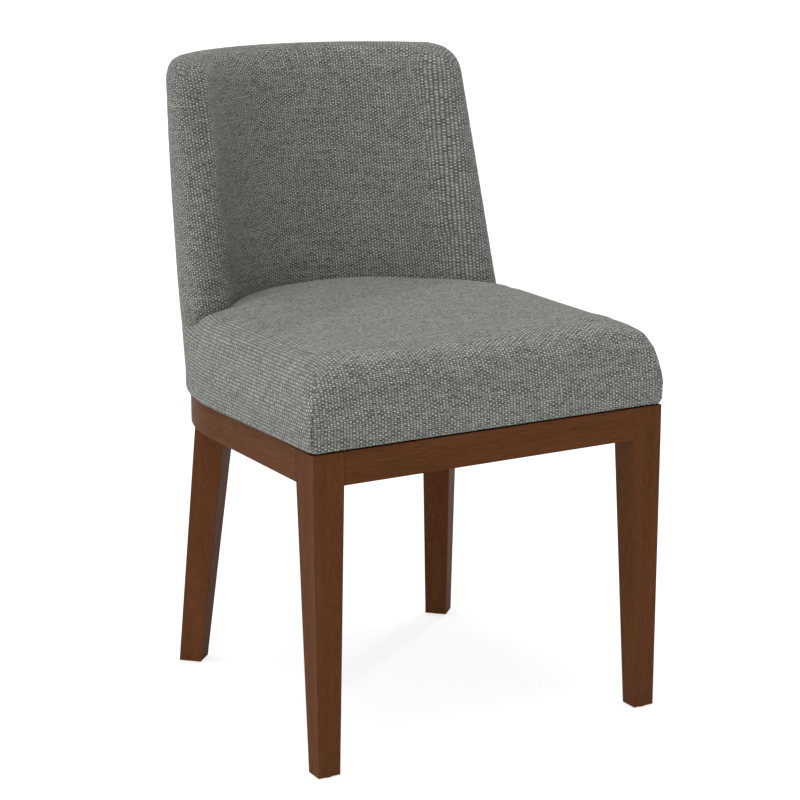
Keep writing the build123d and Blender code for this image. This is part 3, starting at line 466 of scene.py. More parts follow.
def row_noise(tree, across, row, along_row, per_row):
    """Noise that is drawn out along the weft and differs from row to row."""
    first = calc(tree, "MULTIPLY", across, along_row)
    second = calc(tree, "MULTIPLY", row, per_row)
    place = add(tree, "ShaderNodeCombineXYZ", {0: first, 1: second}).outputs[0]
    return noise(tree, place, 1.0, 1.0).outputs["Fac"]


def woven_cloth(cloth):
    """A coarse plain weave of slubby yarn, with painted shade between the yarns, laid along the cloth's own
    map.
    """
    material, tree, shader = new_finish(CLOTH_FINISH)
    place, threads = weave_places(tree, cloth)
    across, along, _ = add(tree, "ShaderNodeSeparateXYZ", {0: threads}).outputs
    warp_up, pillow = plain_weave(tree, across, along)
    fibre = noise(tree, place, FIBRE_SCALE, roughness=0.7).outputs["Fac"]
    height = calc(tree, "ADD", pillow, calc(tree, "MULTIPLY", fibre, FIBRE_HEIGHT))

    cell = vector_calc(tree, "FLOOR", {0: threads})
    chance = add(tree, "ShaderNodeTexWhiteNoise", {"Vector": cell}, noise_dimensions="2D").outputs["Value"]
    _, row, _ = add(tree, "ShaderNodeSeparateXYZ", {0: cell}).outputs
    slub = row_noise(tree, across, row, along_row=0.14, per_row=0.71)
    long_slub = row_noise(tree, across, row, along_row=0.07, per_row=0.93)
    streak = spread(tree, long_slub, *STREAK_RANGE, to_high=STREAK_MOST)
    tone = weighed(tree, slub, 0.5, chance, 0.5)
    warp_yarn = ramp(tree, tone, [(0.15, cloth.weft), (0.5, cloth.warp), (0.85, cloth.fleck)])
    weft_yarn = ramp(tree, chance, [(0.0, cloth.gap), (0.5, cloth.weft), (1.0, cloth.warp)])
    yarn = blend(tree, warp_up, weft_yarn, warp_yarn)
    yarn = blend(tree, streak, yarn, (*cloth.fleck, 1.0))
    # Painted shade: where the weave is low, between the yarns, the colour goes to the gap colour
    colour = blend(tree, spread(tree, height, *GAP_SHADE_RANGE), (*cloth.gap, 1.0), yarn)
    lint = spread(tree, fibre, *LINT_RANGE, *LINT_SHADES)
    colour = vector_calc(tree, "SCALE", {0: colour, "Scale": lint})

    roughness = spread(tree, fibre, *GRAIN_RANGE, *CLOTH_ROUGHNESS)
    finish_surface(tree, shader, colour, roughness, height, cloth.relief)
    shader.inputs["Sheen Weight"].default_value = 0.12
    shader.inputs["Sheen Roughness"].default_value = 0.6
    shader.inputs["Specular IOR Level"].default_value = 0.2
    return material


def cloth_material(context):
    """The upholstery cloth, made once and shared by all the covers."""
    return bpy.data.materials.get(CLOTH_FINISH) or woven_cloth(context.scene.chair.cloth)


def along_axis(axis, along, across):
    """A scale with one value along an axis and another across it."""
    return tuple(along if step == axis else across for step in "xyz")


def stained_wood(name, axis, wood):
    """Satin stained hardwood with fine grain along one axis."""
    material, tree, shader = new_finish(name)
    figure = grain(tree, along_axis(axis, along=4.0, across=60.0), detail=5.0, coarseness=0.55)
    pores = grain(tree, along_axis(axis, along=55.0, across=900.0), detail=2.0, coarseness=0.6)
    tone = weighed(tree, figure, 0.35, pores, 0.65)
    colour = ramp(tree, tone, [(0.34, wood.dark), (0.66, wood.light)])
    roughness = spread(tree, tone, *GRAIN_RANGE, wood.roughness + 0.06, wood.roughness - 0.04)
    finish_surface(tree, shader, colour, roughness, pores, 0.00006)
    shader.inputs["Specular IOR Level"].default_value = 0.025
    return material


def grained(name, scale, detail, coarseness, colours, roughness, relief, metallic=0.0):
    """A finish whose colour, roughness and relief all follow one grain."""
    material, tree, shader = new_finish(name)
    pattern = grain(tree, scale, detail, coarseness)
    satin = spread(tree, pattern, *GRAIN_RANGE, *roughness)
    finish_surface(tree, shader, ramp(tree, pattern, colours), satin, pattern, relief)
    shader.inputs["Metallic"].default_value = metallic
    return material


def bare_wood():
    """Unfinished hardwood of the hidden frame."""
    return grained("bare_wood", scale=(14.0, 60.0, 60.0), detail=5.0, coarseness=0.6,
                   colours=[(0.3, (0.48, 0.31, 0.17)), (0.7, (0.68, 0.50, 0.31))],
                   roughness=(0.62, 0.78), relief=0.0002)


def fibre_board():
    """Pressed board with short dark fibres."""
    return grained("fibre_board", scale=(240.0, 240.0, 420.0), detail=4.0, coarseness=0.7,
                   colours=[(0.35, (0.18, 0.115, 0.065)), (0.68, (0.36, 0.25, 0.15))],
                   roughness=(0.7, 0.85), relief=0.0002)


def ribbed_webbing():
    """Elastic webbing with fine ribs."""
    material, tree, shader = new_finish("ribbed_webbing")
    place = add(tree, "ShaderNodeTexCoord", {}).outputs["Object"]
    wave = add(tree, "ShaderNodeTexWave", {"Vector": place, "Scale": 170.0, "Distortion": 0.4})
    ribs = wave.outputs["Fac"]
    colour = ramp(tree, ribs, [(0.2, (0.06, 0.052, 0.045)), (0.85, (0.15, 0.135, 0.115))])
    finish_surface(tree, shader, colour, spread(tree, ribs, 0.0, 1.0, 0.9, 0.75), ribs, 0.0004)
    return material


def underlining_cloth():
    """Thin black felted underlining."""
    return grained("underlining_cloth", scale=(900.0, 900.0, 900.0), detail=4.0, coarseness=0.7,
                   colours=[(0.3, (0.012, 0.012, 0.013)), (0.75, (0.042, 0.042, 0.044))],
                   roughness=(0.95, 0.8), relief=0.0003)


def plated_steel():
    """Zinc plated fasteners, a little streaked."""
    return grained("plated_steel", scale=(300.0, 300.0, 90.0), detail=3.0, coarseness=0.6,
                   colours=[(0.3, (0.47, 0.46, 0.43)), (0.7, (0.66, 0.66, 0.64))],
                   roughness=(0.28, 0.46), relief=0.00005, metallic=1.0)


def moulded_plastic():
    """Dark moulded glides."""
    return grained("moulded_plastic", scale=(500.0, 500.0, 500.0), detail=2.0, coarseness=0.5,
                   colours=[(0.3, (0.045, 0.028, 0.02)), (0.7, (0.07, 0.045, 0.032))],
                   roughness=(0.4, 0.55), relief=0.0001)


def give_finish(node, material):
    """Put a finish on a node of the frame."""
    for slot in frame["nodes"][node].material_slots:
        slot.material = material


# The chair's forms

def outer_circle(z):
    """Radius and centre of the back's outer face at a height."""
    rise = z - RAIL_TOP
    return HALF + OUTER_OVERHANG + OUTER_FLARE * rise, ROUND + OUTER_RECLINE * rise


def inner_circle(z):
    """Radius and centre of the back's inner face at a height."""
    radius, centre = outer_circle(SEAT_LEVEL)
    rise = z - SEAT_LEVEL
    return radius - INNER_WALL + INNER_FLARE * rise, centre - INNER_FORWARD + INNER_RECLINE * rise


def wing_front(z):
    """Where the front of the CAD form's wings stands at a height."""
    return WING_FRONT + WING_RECLINE * (z - WING_LEVEL)


def ease(value, low, high):
    """0 at the low end and 1 at the high end, with a soft change between."""
    part = min(max((value - low) / (high - low), 0.0), 1.0)
    return part * part * (3 - 2 * part)


# Padded pieces

def piece_of(name, form):
    """A new object with the mesh of a form, which is then freed."""
    mesh = bpy.data.meshes.new(name)
    form.to_mesh(mesh)
    form.free()
    piece = bpy.data.objects.new(name, mesh)
    bpy.context.scene.collection.objects.link(piece)
    return piece


def joined_copy(name, nodes):
    """A new object made of copies of some nodes of the frame."""
    form = bmesh.new()
    for node in nodes:
        form.from_mesh(frame["nodes"][node].data)
    bmesh.ops.remove_doubles(form, verts=form.verts, dist=MERGE_DISTANCE)
    return piece_of(name, form)


def keep_result(piece):
    """Make what the piece's modifiers give its own mesh."""
    evaluated = piece.evaluated_get(bpy.context.evaluated_depsgraph_get())
    result = bpy.data.meshes.new_from_object(evaluated)
    piece.modifiers.clear()
    result.name = piece.name
    piece.data = result


def even_grid(piece, size):
    """One closed skin round the piece, on an even grid."""
    modifier = piece.modifiers.new("Even grid", "REMESH")
    modifier.mode = "VOXEL"
    modifier.voxel_size = size
    keep_result(piece)


def softened(piece, shrink, held):
    """Smooth a piece's skin and draw it in a little where it isn't held."""
    form = bmesh.new()
    form.from_mesh(piece.data)
    for _ in range(SOFTEN_ROUNDS):
        bmesh.ops.smooth_vert(form, verts=form.verts, factor=SOFTEN_FACTOR,
                              use_axis_x=True, use_axis_y=True, use_axis_z=True)
    form.normal_update()
    for vertex in form.verts:
        vertex.co -= vertex.normal * shrink * (1 - held(vertex.co, vertex.normal))
    form.to_mesh(piece.data)
    form.free()


def pattern_of(piece):
    """Places and directions of the points of a piece's skin."""
    return [(vertex.co.copy(), vertex.normal.copy()) for vertex in piece.data.vertices]


def keep_pattern(piece, pattern, slack, held):
    """Hold a piece's skin close to its pattern, most of all where it is held."""
    for vertex, (place, normal) in zip(piece.data.vertices, pattern):
        height = (vertex.co - place).dot(normal)
        room = HELD_SLACK + slack * (1 - held(place, normal))
        vertex.co += normal * (min(max(height, -room), room) - height)


def fill(piece, padding, held):
    """Fill a piece with cloth pressure, held where the given function says, and keep the result."""
    start = [vertex.co.copy() for vertex in piece.data.vertices]
    group = piece.vertex_groups.new(name="held")
    for vertex in piece.data.vertices:
        group.add([vertex.index], held(vertex.co, vertex.normal), "REPLACE")
    modifier = piece.modifiers.new("Padding", "CLOTH")
    cloth = modifier.settings
    cloth.quality = CLOTH_QUALITY
    cloth.mass = CLOTH_MASS
    cloth.vertex_group_mass = group.name
    cloth.use_pressure = True
    cloth.uniform_pressure_force = padding.pressure
    cloth.effector_weights.gravity = 0.0
    modifier.collision_settings.use_collision = False
    modifier.point_cache.frame_start = 1
    modifier.point_cache.frame_end = padding.frames
    for step in range(1, padding.frames + 1):
        bpy.context.scene.frame_set(step)
    keep_result(piece)
    bpy.context.scene.frame_set(1)
    for vertex, before in zip(piece.data.vertices, start):
        move = vertex.co - before
        if move.length > padding.swell:
            vertex.co = before + move * (padding.swell / move.length)


def padded_form(name, nodes, grid, padding, held):
    """The skin of some nodes on an even grid, softened, filled and kept close to its pattern."""
    piece = joined_copy(name, nodes)
    even_grid(piece, grid)
    pattern = pattern_of(piece)
    softened(piece, padding.shrink, held)
    fill(piece, padding, held)
    keep_pattern(piece, pattern, padding.slack, held)
    return piece


def lay_cloth(piece, place_on_cloth):
    """Give each face of a piece its place on the flat cloth."""
    layer = piece.data.uv_layers.new(name=WEAVE_MAP)
    for face in piece.data.polygons:
        spot = place_on_cloth(face)
        for loop in face.loop_indices:
            layer.data[loop].uv = spot(piece.data.vertices[piece.data.loops[loop].vertex_index].co)


def finish_piece(piece, material, replaced):
    """Shade a padded piece, subdivide it once, and put it on the frame."""
    for face in piece.data.polygons:
        face.use_smooth = True
    piece.data.materials.clear()
    piece.data.materials.append(material)
    modifier = piece.modifiers.new("Smooth cloth", "SUBSURF")
    modifier.levels = 1
    modifier.render_levels = 1
    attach(piece, BODY)
    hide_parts(*replaced)


# Seat

def seat_edge(point):
    """How far a point of the seat lies in from the front face and from the side or round face."""
    radius, centre = outer_circle(point.z)
    front = point.y - (FRONT - FRONT_OVERHANG)
    if point.y > centre:
        return front, radius - hypot(point.x, point.y - centre)
    half = HALF + SIDE_OVERHANG
    half += (radius - half) * front / (centre - FRONT + FRONT_OVERHANG)
    return front, half - abs(point.x)


def seat_outward(point):
    """The way out of the seat's wall in plan, and how far in from the wall a point lies."""
    front, side = seat_edge(point)
    sign = 1 if point.x > 0 else -1
    _, centre = outer_circle(point.z)
    if point.y > centre:
        return Vector((point.x, point.y - centre, 0.0)).normalized(), side
    if front < SEAT_CORNER and side < SEAT_CORNER:
        reach = Vector((sign * (SEAT_CORNER - side), front - SEAT_CORNER, 0.0))
        return reach.normalized(), SEAT_CORNER - reach.length
    if front < side:
        return Vector((0.0, -1.0, 0.0)), front
    return Vector((sign, 0.0, 0.0)), side


def hem_inset(z):
    """How far the rolled hem lies in from the seat's wall at a height."""
    rise = min(max(z - RAIL_TOP, 0.0), HEM_ROLL)
    return HEM_ROLL - sqrt(HEM_ROLL ** 2 - (HEM_ROLL - rise) ** 2)


def edge_inset(z):
    """How far the round upper edge lies in from the seat's wall at a height."""
    part = min(max((z - EDGE_LOW) / EDGE_REACH, 0.0), 1.0)
    return EDGE_REACH * (1 - sqrt(1 - part * part))


def fill_corner(point):
    """Push a point of a front corner out to a tighter round."""
    front, side = seat_edge(point)
    inset = edge_inset(point.z)
    radius = CAD_CORNER + inset
    reach = Vector((radius + inset - side, radius + inset - front))
    if min(reach) <= 0:
        return
    spare = radius - SEAT_CORNER - SEAT_CORNER_SHARE * inset
    away = reach.normalized()
    push = spare * (away.x + away.y - 1) * min(reach.length / radius, 1.0)
    point.x += push * away.x * (1 if point.x > 0 else -1)
    point.y -= push * away.y


def bow_wall(point, front, side):
    """Bow a point of the seat's walls out, and one of its front corners a little more."""
    bow = ease(point.z, *BOW_FROM_HEM) * (1 - ease(point.z, *BOW_TO_EDGE))
    bow *= 1 - ease(point.y, *BOW_TO_WING)
    point += seat_outward(point)[0] * WALL_BULGE * bow
    corner = CORNER_BULGE * bow * (1 - ease(max(front, side), *CORNER_FADE))
    point += Vector((corner if point.x > 0 else -corner, -corner, 0.0)) * CORNER_DIAGONAL


def front_crown(front):
    """Height of the seat's crown behind its front face, as a share of the CAD crown's height."""
    front = max(front, FRONT_CROWN_START)
    off = 1 - min(front / FRONT_CROWN_REACH, 1.0)
    wanted = FRONT_CROWN_RISE * sqrt(1 - off * off)
    if front < EDGE_REACH:
        return wanted / sqrt(EDGE_REACH ** 2 - (EDGE_REACH - front) ** 2)
    off = 1 - min((front - EDGE_REACH) / (CAD_CROWN_REACH - EDGE_REACH), 1.0)
    share = wanted / (EDGE_REACH + (SEAT_TOP - EDGE_TOP) * (1 - off * off))
    return share if front < FRONT_CROWN_REACH else max(share, 1.0)


def lift_edges(point, front, side):
    """Lift a point of the seat's side edges, its front edge or its rear, where it meets the back."""
    lift = ease(side, *LIFT_FROM_EDGE) * (1 - ease(side, *LIFT_TO_CROWN)) * ease(front, *LIFT_FROM_EDGE)
    lift *= ease(point.z, *LIFT_HEIGHT) * (1 - ease(point.y, *LIFT_TO_WING))
    point.z += SIDE_LIFT * lift
    if point.z > EDGE_LOW:
        rise = 1 + (front_crown(front) - 1) * ease(side, *FRONT_CROWN_ACROSS)
        point.z = EDGE_LOW + (point.z - EDGE_LOW) * rise
        rear = ease(front, *REAR_LIFT_ALONG) * ease(side, *REAR_LIFT_ACROSS)
        point.z += REAR_LIFT * rear * ease(point.z, *REAR_LIFT_HEIGHT)


def plump_edges(piece):
    """Fill the seat's front corners, bow its walls out, and lift its edges and its rear."""
    for vertex in piece.data.vertices:
        point = vertex.co.copy()
        front, side = seat_edge(point)
        fill_corner(point)
        if min(front, side) < WALL_DEPTH:
            bow_wall(point, front, side)
        lift_edges(point, front, side)
        vertex.co = point


def roll_hem(piece):
    """Draw the seat's lowest band out to its wall, round it under, and rest it on the rails."""
    for vertex, (_, normal) in zip(piece.data.vertices, pattern_of(piece)):
        band = 1 - ease(vertex.co.z, *HEM_FADE)
        out, inset = seat_outward(vertex.co)
        if normal.dot(out) > HEM_FACING and inset < HEM_REACH:
            vertex.co += out * (inset - hem_inset(vertex.co.z)) * band
        vertex.co.z -= (SEAT_FLOOR - RAIL_TOP) * (1 - ease(vertex.co.z, SEAT_FLOOR, HEM_TOP))


def square_under_back(piece):
    """Carry the seat's wall straight up to the lower edge of the back and its wings."""
    for vertex in piece.data.vertices:
        out, inset = seat_outward(vertex.co)
        below = ease(vertex.co.y, *UNDER_WING) * (1 - ease(vertex.co.z, *UNDER_BACK_FADE))
        if UNDER_BACK_LOW < vertex.co.z and BACK_WALL_STEP < inset < EDGE_REACH:
            vertex.co += out * (inset - BACK_WALL_STEP) * below


def seat_run(inset, z):
    """Length of cloth from the flat top's border out and down over the round edge."""
    if inset >= EDGE_REACH:
        return EDGE_REACH - inset
    if z < EDGE_LOW:
        return EDGE_REACH * pi / 2 + EDGE_LOW - z
    return EDGE_REACH * atan2(EDGE_REACH - inset, max(z - EDGE_LOW, LEAST_LENGTH))


def seat_cloth_place(face):
    """The seat's cloth is flat on top and runs down over the front and over the sides."""
    front, side = seat_edge(face.center)
    sign = 1 if face.center.x > 0 else -1

    def on_front(point):
        inset, _ = seat_edge(point)
        return point.x, FRONT - FRONT_OVERHANG + EDGE_REACH - seat_run(inset, point.z)

    def on_side(point):
        _, inset = seat_edge(point)
        radius, centre = outer_circle(point.z)
        along = point.y
        if point.y > centre:
            along = centre + radius * atan2(point.y - centre, sign * point.x)
        return sign * (HALF + SIDE_OVERHANG - EDGE_REACH + seat_run(inset, point.z)), along

    def on_top(point):
        return point.x, point.y

    if min(front, side) > EDGE_REACH:
        return on_top
    if front < side:
        return on_front
    return on_side


def seat_held(point, normal):
    """The seat's cloth is held at its hem, underneath, at the corner seams and under the back."""
    front, side = seat_edge(point)
    hem = 1 - ease(point.z, *HEM_HELD)
    inside = 1.0 if normal.z < UNDERSIDE_FACING else 0.0
    if point.z < HEM_HELD[1] and min(front, side) > INSIDE_DEPTH:
        inside = 1.0
    corner = (1 - ease(hypot(front, side), *CORNER_HELD)) * (1 - ease(point.z, *SEAM_HELD))
    radius, centre = inner_circle(point.z)
    under_back = ease(hypot(point.x, point.y - centre), radius - UNDER_BACK_DEPTH, radius)
    under_back *= ease(point.y, *UNDER_WING_HELD)
    return max(hem, inside, corner, under_back)


def seam_zone(point, corner):
    """Whether a point lies near a front corner of the seat, between its hem and its seam's top."""
    near = hypot(point.x - corner.x, point.y - corner.y) < SEAM_REACH
    return near and SEAM_FOOT < point.z < SEAM_TOP


def sew_corner(form, side, padding):
    """Cut a groove for the seam that closes a front corner of the seat."""
    corner = Vector((side * (HALF + SIDE_OVERHANG), FRONT - FRONT_OVERHANG, 0.0))
    across = Vector((side, 1.0, 0.0)).normalized()
    for step in (-1, 0, 1):
        near = [face for face in form.faces if seam_zone(face.calc_center_median(), corner)]
        edges = list(dict.fromkeys(edge for face in near for edge in face.edges))
        vertices = list(dict.fromkeys(vertex for face in near for vertex in face.verts))
        bmesh.ops.bisect_plane(form, geom=near + edges + vertices, dist=SEAM_MERGE,
                               plane_co=corner + across * step * padding.seam_width, plane_no=across)
    inward = Vector((-side, 1.0, 0.0)).normalized()
    creases = form.edges.layers.float
    crease = creases.get("crease_edge") or creases.new("crease_edge")
    seam = {vertex for vertex in form.verts if seam_zone(vertex.co, corner)
            and abs((vertex.co - corner).dot(across)) < padding.seam_width / 4}
    for edge in form.edges:
        if edge.verts[0] in seam and edge.verts[1] in seam:
            edge[crease] = 1.0
    for vertex in seam:
        vertex.co += inward * padding.seam_depth * (1 - ease(vertex.co.z, *SEAM_FADE))


def sew_corners(piece, padding):
    """Sew both front corners of the seat."""
    form = bmesh.new()
    form.from_mesh(piece.data)
    for side in (-1, 1):
        sew_corner(form, side, padding)
    form.to_mesh(piece.data)
    form.free()


# Back

def back_place(point):
    """Angle off the rear, share of the way through the wall, inner radius and wall at a point."""
    inner, inner_y = inner_circle(point.z)
    outer, outer_y = outer_circle(point.z)
    near = hypot(point.x, point.y - inner_y) - inner
    far = outer - hypot(point.x, point.y - outer_y)
    wall = max(near + far, LEAST_LENGTH)
    return atan2(point.x, point.y - inner_y), min(max(near / wall, 0.0), 1.0), inner, wall


def nose_front(z):
    """Where the round front of the wings stands at a height."""
    return wing_front(z) + NOSE_SETBACK + NOSE_RECLINE * (z - SEAT_LEVEL)


def nose_start(z, wall):
    """Length of cloth from the rear to the start of a wing's round nose, and where that is."""
    inner, inner_y = inner_circle(z)
    middle = nose_front(z) + wall / 2
    turn = atan2(sqrt(max(inner ** 2 - (middle - inner_y) ** 2, 0.0)), middle - inner_y)
    return inner * turn, middle


def back_cloth_place(face):
    """The inside back's cloth turns over the top edge, and round the wings to the outside."""
    centre = face.center
    _, share, _, wall = back_place(centre)
    side = 1 if centre.x > 0 else -1
    to_top = BACK_TOP - centre.z

    def inside(point):
        angle, _, inner, _ = back_place(point)
        return angle * inner, point.z

    def over_top(point):
        angle, share, inner, wall = back_place(point)
        return angle * inner, point.z + share * (2 * (BACK_TOP - point.z) + wall)

    def round_nose(point):
        _, share, _, wall = back_place(point)
        start, middle = nose_start(point.z, wall)
        turn = atan2((share - MID_WALL) * wall, middle - point.y)
        return side * (start + (turn + pi / 2) * wall / 2), point.z

    def outside(point):
        _, _, _, wall = back_place(point)
        start, middle = nose_start(point.z, wall)
        radius, outer_y = outer_circle(point.z)
        end = atan2(sqrt(max(radius ** 2 - (middle - outer_y) ** 2, 0.0)), middle - outer_y)
        turned = end - atan2(side * point.x, point.y - outer_y)
        return side * (start + pi * wall / 2 + turned * radius), point.z

    if to_top < min(share, 1 - share) * wall:
        lie = over_top
    elif centre.y < nose_start(centre.z, wall)[1]:
        lie = round_nose
    elif share < MID_WALL:
        lie = inside
    elif centre.z > PANEL_TOP and to_top < wall / 2:
        lie = over_top
    else:
        lie = outside

    def spot(point):
        across, up = lie(point)
        return across * BACK_CLOTH_SCALE, up * BACK_CLOTH_SCALE

    return spot


def corner_depth(radius, inset):
    """How far a round corner lies behind its face, at a distance in from its side."""
    inward = max(radius - inset, 0.0)
    return radius - sqrt(max(radius ** 2 - inward ** 2, 0.0))


def across_wall(z, share, y):
    """Half width, at a place from front to rear, of the round face at a share through the wall."""
    inner, inner_y = inner_circle(z)
    outer, outer_y = outer_circle(z)
    radius = inner + (outer - inner) * share
    return sqrt(max(radius ** 2 - (y - inner_y - (outer_y - inner_y) * share) ** 2, 0.0))


def round_wings(piece):
    """Turn each wing's front into a full round nose, set back a little more towards the top."""
    for vertex in piece.data.vertices:
        point = vertex.co.copy()
        _, share, _, wall = back_place(point)
        depth = point.y - wing_front(point.z)
        if depth < NOSE_FADE[1]:
            inset = wall * min(share, 1 - share)
            nose = wall * (NOSE_INNER_SHARE if share < MID_WALL else NOSE_OUTER_SHARE)
            move = corner_depth(nose, inset) - corner_depth(wall * WING_CORNER_SHARE, inset)
            move += nose_front(point.z) - wing_front(point.z)
            move *= 1 - ease(depth, *NOSE_FADE)
            widen = across_wall(point.z, share, point.y + move) - across_wall(point.z, share, point.y)
            vertex.co = (point.x + (widen if point.x > 0 else -widen), point.y + move, point.z)
        vertex.co.z += TOP_LIFT * ease(point.z, *TOP_LIFT_RANGE)


def tuck_foot(piece):
    """Push the back's inside and wings down into the seat, so that the crease between them closes."""
    for vertex, (_, normal) in zip(piece.data.vertices, pattern_of(piece)):
        _, share, _, _ = back_place(vertex.co)
        if vertex.co.z < FOOT_TOP and normal.z < FOOT_FACING:
            vertex.co.z -= FOOT_TUCK * (1 - ease(share, *FOOT_SHARE))


def back_held(point, normal):
    """The back's cloth is held along its foot, at the seat and under the outside panel."""
    _, share, _, _ = back_place(point)
    foot = 1 - ease(point.z, *FOOT_HELD) if share < MID_WALL else 0.0
    under_panel = 0.0
    if share > OUTSIDE_SHARE:
        under_panel = ease(PANEL_HALF + PANEL_MARGIN - abs(point.x), 0.0, PANEL_MARGIN)
        under_panel *= ease(PANEL_TOP + PANEL_MARGIN - point.z, 0.0, PANEL_MARGIN)
    return max(foot, under_panel, 1 - ease(point.z, *LOWER_EDGE_HELD))


# Outside panel

def panel_point(across, up):
    """A point of the outside panel; both shares go from -1 to 1."""
    z = PANEL_LOW + (PANEL_TOP - PANEL_LOW) * (up + 1) / 2
    radius, centre = outer_circle(z)
    turn = asin(min(PANEL_HALF / radius, 1.0)) * across
    border = ease(max(abs(across), abs(up)), *PANEL_BORDER)
    proud = radius + PANEL_PROUD - PANEL_TURN_IN * border
    return Vector((proud * sin(turn), centre + proud * cos(turn), z))


def panel_cloth_place(point):
    """The outside panel's cloth lies round the back's outer face."""
    radius, centre = outer_circle(point.z)
    return radius * atan2(point.x, point.y - centre) * BACK_CLOTH_SCALE, point.z * BACK_CLOTH_SCALE


# Stage

def pale_floor(stage):
    """A wide pale floor that throws light back, and shows the camera only faint shadows."""
    form = bmesh.new()
    bmesh.ops.create_grid(form, x_segments=1, y_segments=1, size=FLOOR_HALF)
    floor = piece_of("floor", form)
    material, tree, shader = new_finish("pale_floor")
    shader.inputs["Base Color"].default_value = (0.9, 0.9, 0.9, 1.0)
    shader.inputs["Roughness"].default_value = 0.9
    shader.inputs["Specular IOR Level"].default_value = 0.0
    shade = add(tree, "ShaderNodeBsdfDiffuse", {"Color": (stage.floor, stage.floor, stage.floor, 1.0)})
    glow = add(tree, "ShaderNodeEmission", {"Strength": stage.glow})
    both = add(tree, "ShaderNodeAddShader", {0: shade.outputs[0], 1: glow.outputs[0]})
    seen = add(tree, "ShaderNodeLightPath", {}).outputs["Is Camera Ray"]
    choice = add(tree, "ShaderNodeMixShader", {0: seen, 1: shader.outputs[0], 2: both.outputs[0]})
    tree.links.new(choice.outputs[0], tree.nodes["Material Output"].inputs["Surface"])
    floor.data.materials.append(material)


def soft_sky(strength):
    """White behind the chair, and even soft light from all round."""
    world = bpy.data.worlds.new("sky")
    world.use_nodes = True
    bpy.context.scene.world = world
    tree = world.node_tree
    seen = add(tree, "ShaderNodeLightPath", {}).outputs
    shown = calc(tree, "MAXIMUM", seen["Is Camera Ray"], seen["Is Transmission Ray"])
    background = tree.nodes["Background"]
    background.inputs["Color"].default_value = (1.0, 1.0, 1.0, 1.0)
    tree.links.new(between(tree, shown, strength, 1.0), background.inputs["Strength"])


def soft_light(name, strength, width, bearing, height):
    """A distant soft light of some width, from a bearing round the chair and a height, in degrees."""
    lamp = bpy.data.lights.new(name, "SUN")
    lamp.energy = strength
    lamp.angle = radians(width)
    light = bpy.data.objects.new(name, lamp)
    light.location = Vector((cos(radians(bearing)), sin(radians(bearing)), 1.0)) * LIGHT_DISTANCE
    light.rotation_euler = (pi / 2 - radians(height), 0.0, radians(bearing) + pi / 2)
    bpy.context.scene.collection.objects.link(light)


def stage_camera(stage):
    """The camera, which looks at the chair's front and right side from a little above."""
    lens = bpy.data.cameras.new("camera")
    lens.lens = stage.lens
    lens.sensor_width = SENSOR_WIDTH
    camera = bpy.data.objects.new("camera", lens)
    camera.location = Vector(stage.camera_place) + Vector((0.0, FRONT, 0.0))
    camera.rotation_euler = (pi / 2 - stage.camera_tilt, 0.0, stage.camera_turn)
    bpy.context.scene.collection.objects.link(camera)
    bpy.context.scene.camera = camera


# Operators

class CHAIR_OT_base(bpy.types.Operator):
    """Stain the base's rails and legs"""
    bl_idname = "chair.base"
    bl_label = "Stained wood base"

    def execute(self, context):
        wood = context.scene.chair.wood
        for axis, nodes in WOOD_ALONG.items():
            material = stained_wood("stained_wood_" + axis, axis, wood)
            for node in nodes:
                give_finish(node, material)
        return {"FINISHED"}


class CHAIR_OT_inner_frame(bpy.types.Operator):
    """Finish the hidden frame, its webbing, fasteners, underlining and glides"""
    bl_idname = "chair.inner_frame"
    bl_label = "Hidden frame and fittings"

    def execute(self, context):
        finishes = {
            "frame_wood": bare_wood(),
            "board": fibre_board(),
            "webbing": ribbed_webbing(),
            "underlining": underlining_cloth(),
            "plated_steel": plated_steel(),
            "glide_plastic": moulded_plastic(),
        }
        for node, slot in SLOT_OF_NODE.items():
            if slot in finishes:
                give_finish(node, finishes[slot])
        return {"FINISHED"}


class CHAIR_OT_seat(bpy.types.Operator):
    """Make the padded seat with its crown, rolled hem and corner seams"""
    bl_idname = "chair.seat"
    bl_label = "Padded seat"

    def execute(self, context):
        padding = context.scene.chair.padding
        piece = padded_form("seat_upholstery", CLOTH_NODES_SEAT, padding.seat_grid, padding, seat_held)
        plump_edges(piece)
        roll_hem(piece)
        square_under_back(piece)
        sew_corners(piece, padding)
        lay_cloth(piece, seat_cloth_place)
        finish_piece(piece, cloth_material(context), CLOTH_NODES_SEAT)
        return {"FINISHED"}


class CHAIR_OT_back(bpy.types.Operator):
    """Make the padded back with its wings and soft top edge"""
    bl_idname = "chair.back"
    bl_label = "Padded back"

    def execute(self, context):
        padding = context.scene.chair.padding
        nodes = CLOTH_NODES_BACK + CLOTH_NODES_OUTSIDE
        piece = padded_form("back_upholstery", nodes, padding.back_grid, padding, back_held)
        tuck_foot(piece)
        round_wings(piece)
        lay_cloth(piece, back_cloth_place)
        finish_piece(piece, cloth_material(context), CLOTH_NODES_BACK)
        return {"FINISHED"}


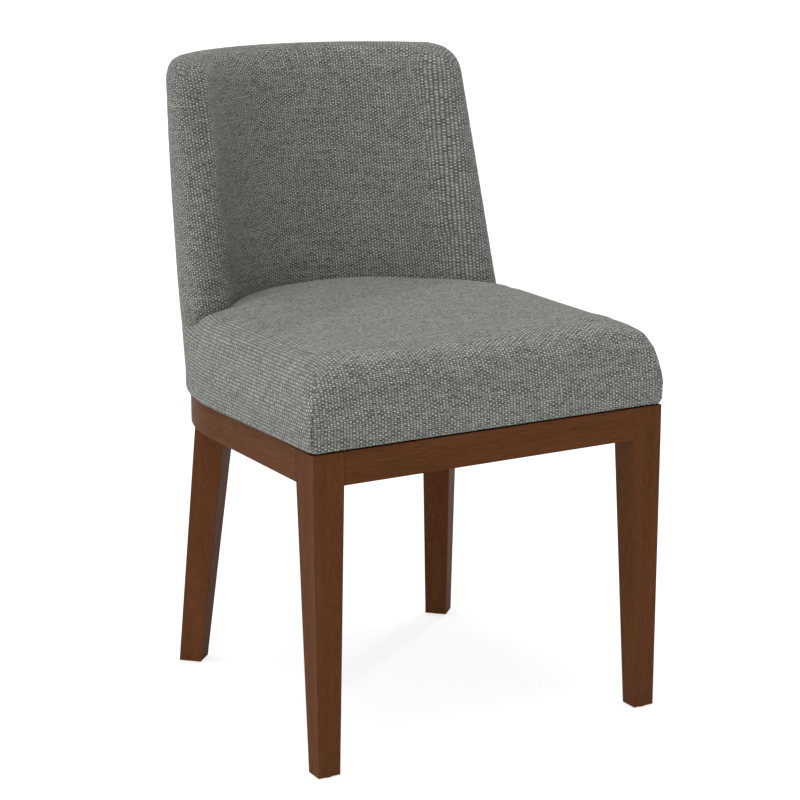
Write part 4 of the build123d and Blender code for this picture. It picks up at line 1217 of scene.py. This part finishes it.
class CHAIR_OT_outside_panel(bpy.types.Operator):
    """Make the outside back's panel, drawn over the rear of the padded back"""
    bl_idname = "chair.outside_panel"
    bl_label = "Outside back panel"

    def execute(self, context):
        form = bmesh.new()
        bmesh.ops.create_grid(form, x_segments=PANEL_COLUMNS, y_segments=PANEL_ROWS, size=1.0)
        for vertex in form.verts:
            vertex.co = panel_point(vertex.co.x, vertex.co.y)
        piece = piece_of("outside_back_panel", form)
        lay_cloth(piece, lambda face: panel_cloth_place)
        thicken = piece.modifiers.new("Cloth and lining", "SOLIDIFY")
        thicken.thickness = PANEL_THICKNESS
        thicken.offset = -1.0
        keep_result(piece)
        finish_piece(piece, cloth_material(context), CLOTH_NODES_OUTSIDE)
        return {"FINISHED"}


class CHAIR_OT_stage(bpy.types.Operator):
    """Set up the floor, the soft light and the camera"""
    bl_idname = "chair.stage"
    bl_label = "Stage"

    def execute(self, context):
        stage = context.scene.chair.stage
        context.scene.view_settings.view_transform = "Standard"
        pale_floor(stage)
        soft_sky(stage.sky)
        soft_light("side_light", stage.side, width=110.0, bearing=195.0, height=32.0)
        soft_light("left_light", stage.left, width=5.0, bearing=32.0, height=30.0)
        soft_light("top_light", stage.top, width=40.0, bearing=190.0, height=84.0)
        soft_light("front_light", stage.front, width=50.0, bearing=285.0, height=8.0)
        stage_camera(stage)
        return {"FINISHED"}


OPERATORS = (
    CHAIR_OT_base,
    CHAIR_OT_inner_frame,
    CHAIR_OT_seat,
    CHAIR_OT_back,
    CHAIR_OT_outside_panel,
    CHAIR_OT_stage,
)


class CHAIR_PT_panel(bpy.types.Panel):
    """Lists the chair's pieces and its stage"""
    bl_idname = "CHAIR_PT_panel"
    bl_label = "Dining chair"
    bl_space_type = "VIEW_3D"
    bl_region_type = "UI"
    bl_category = "Chair"

    def draw(self, context):
        for operator in OPERATORS:
            self.layout.operator(operator.bl_idname)


SETTINGS = (ChairCloth, ChairPadding, ChairWood, ChairStage, ChairSettings)
CLASSES = SETTINGS + OPERATORS + (CHAIR_PT_panel,)


def register():
    """Register the chair's classes and its settings."""
    for item in CLASSES:
        bpy.utils.register_class(item)
    bpy.types.Scene.chair = PointerProperty(
        name="Dining chair", description="All the chair's settings", type=ChairSettings)


def unregister():
    """Take the chair's settings and classes away again."""
    del bpy.types.Scene.chair
    for item in reversed(CLASSES):
        bpy.utils.unregister_class(item)


def main():
    """Make all the chair's pieces and its stage."""
    register()
    bpy.ops.chair.base()
    bpy.ops.chair.inner_frame()
    bpy.ops.chair.seat()
    bpy.ops.chair.back()
    bpy.ops.chair.outside_panel()
    bpy.ops.chair.stage()
    bpy.context.view_layer.update()


if __name__ == "__main__":
    main()
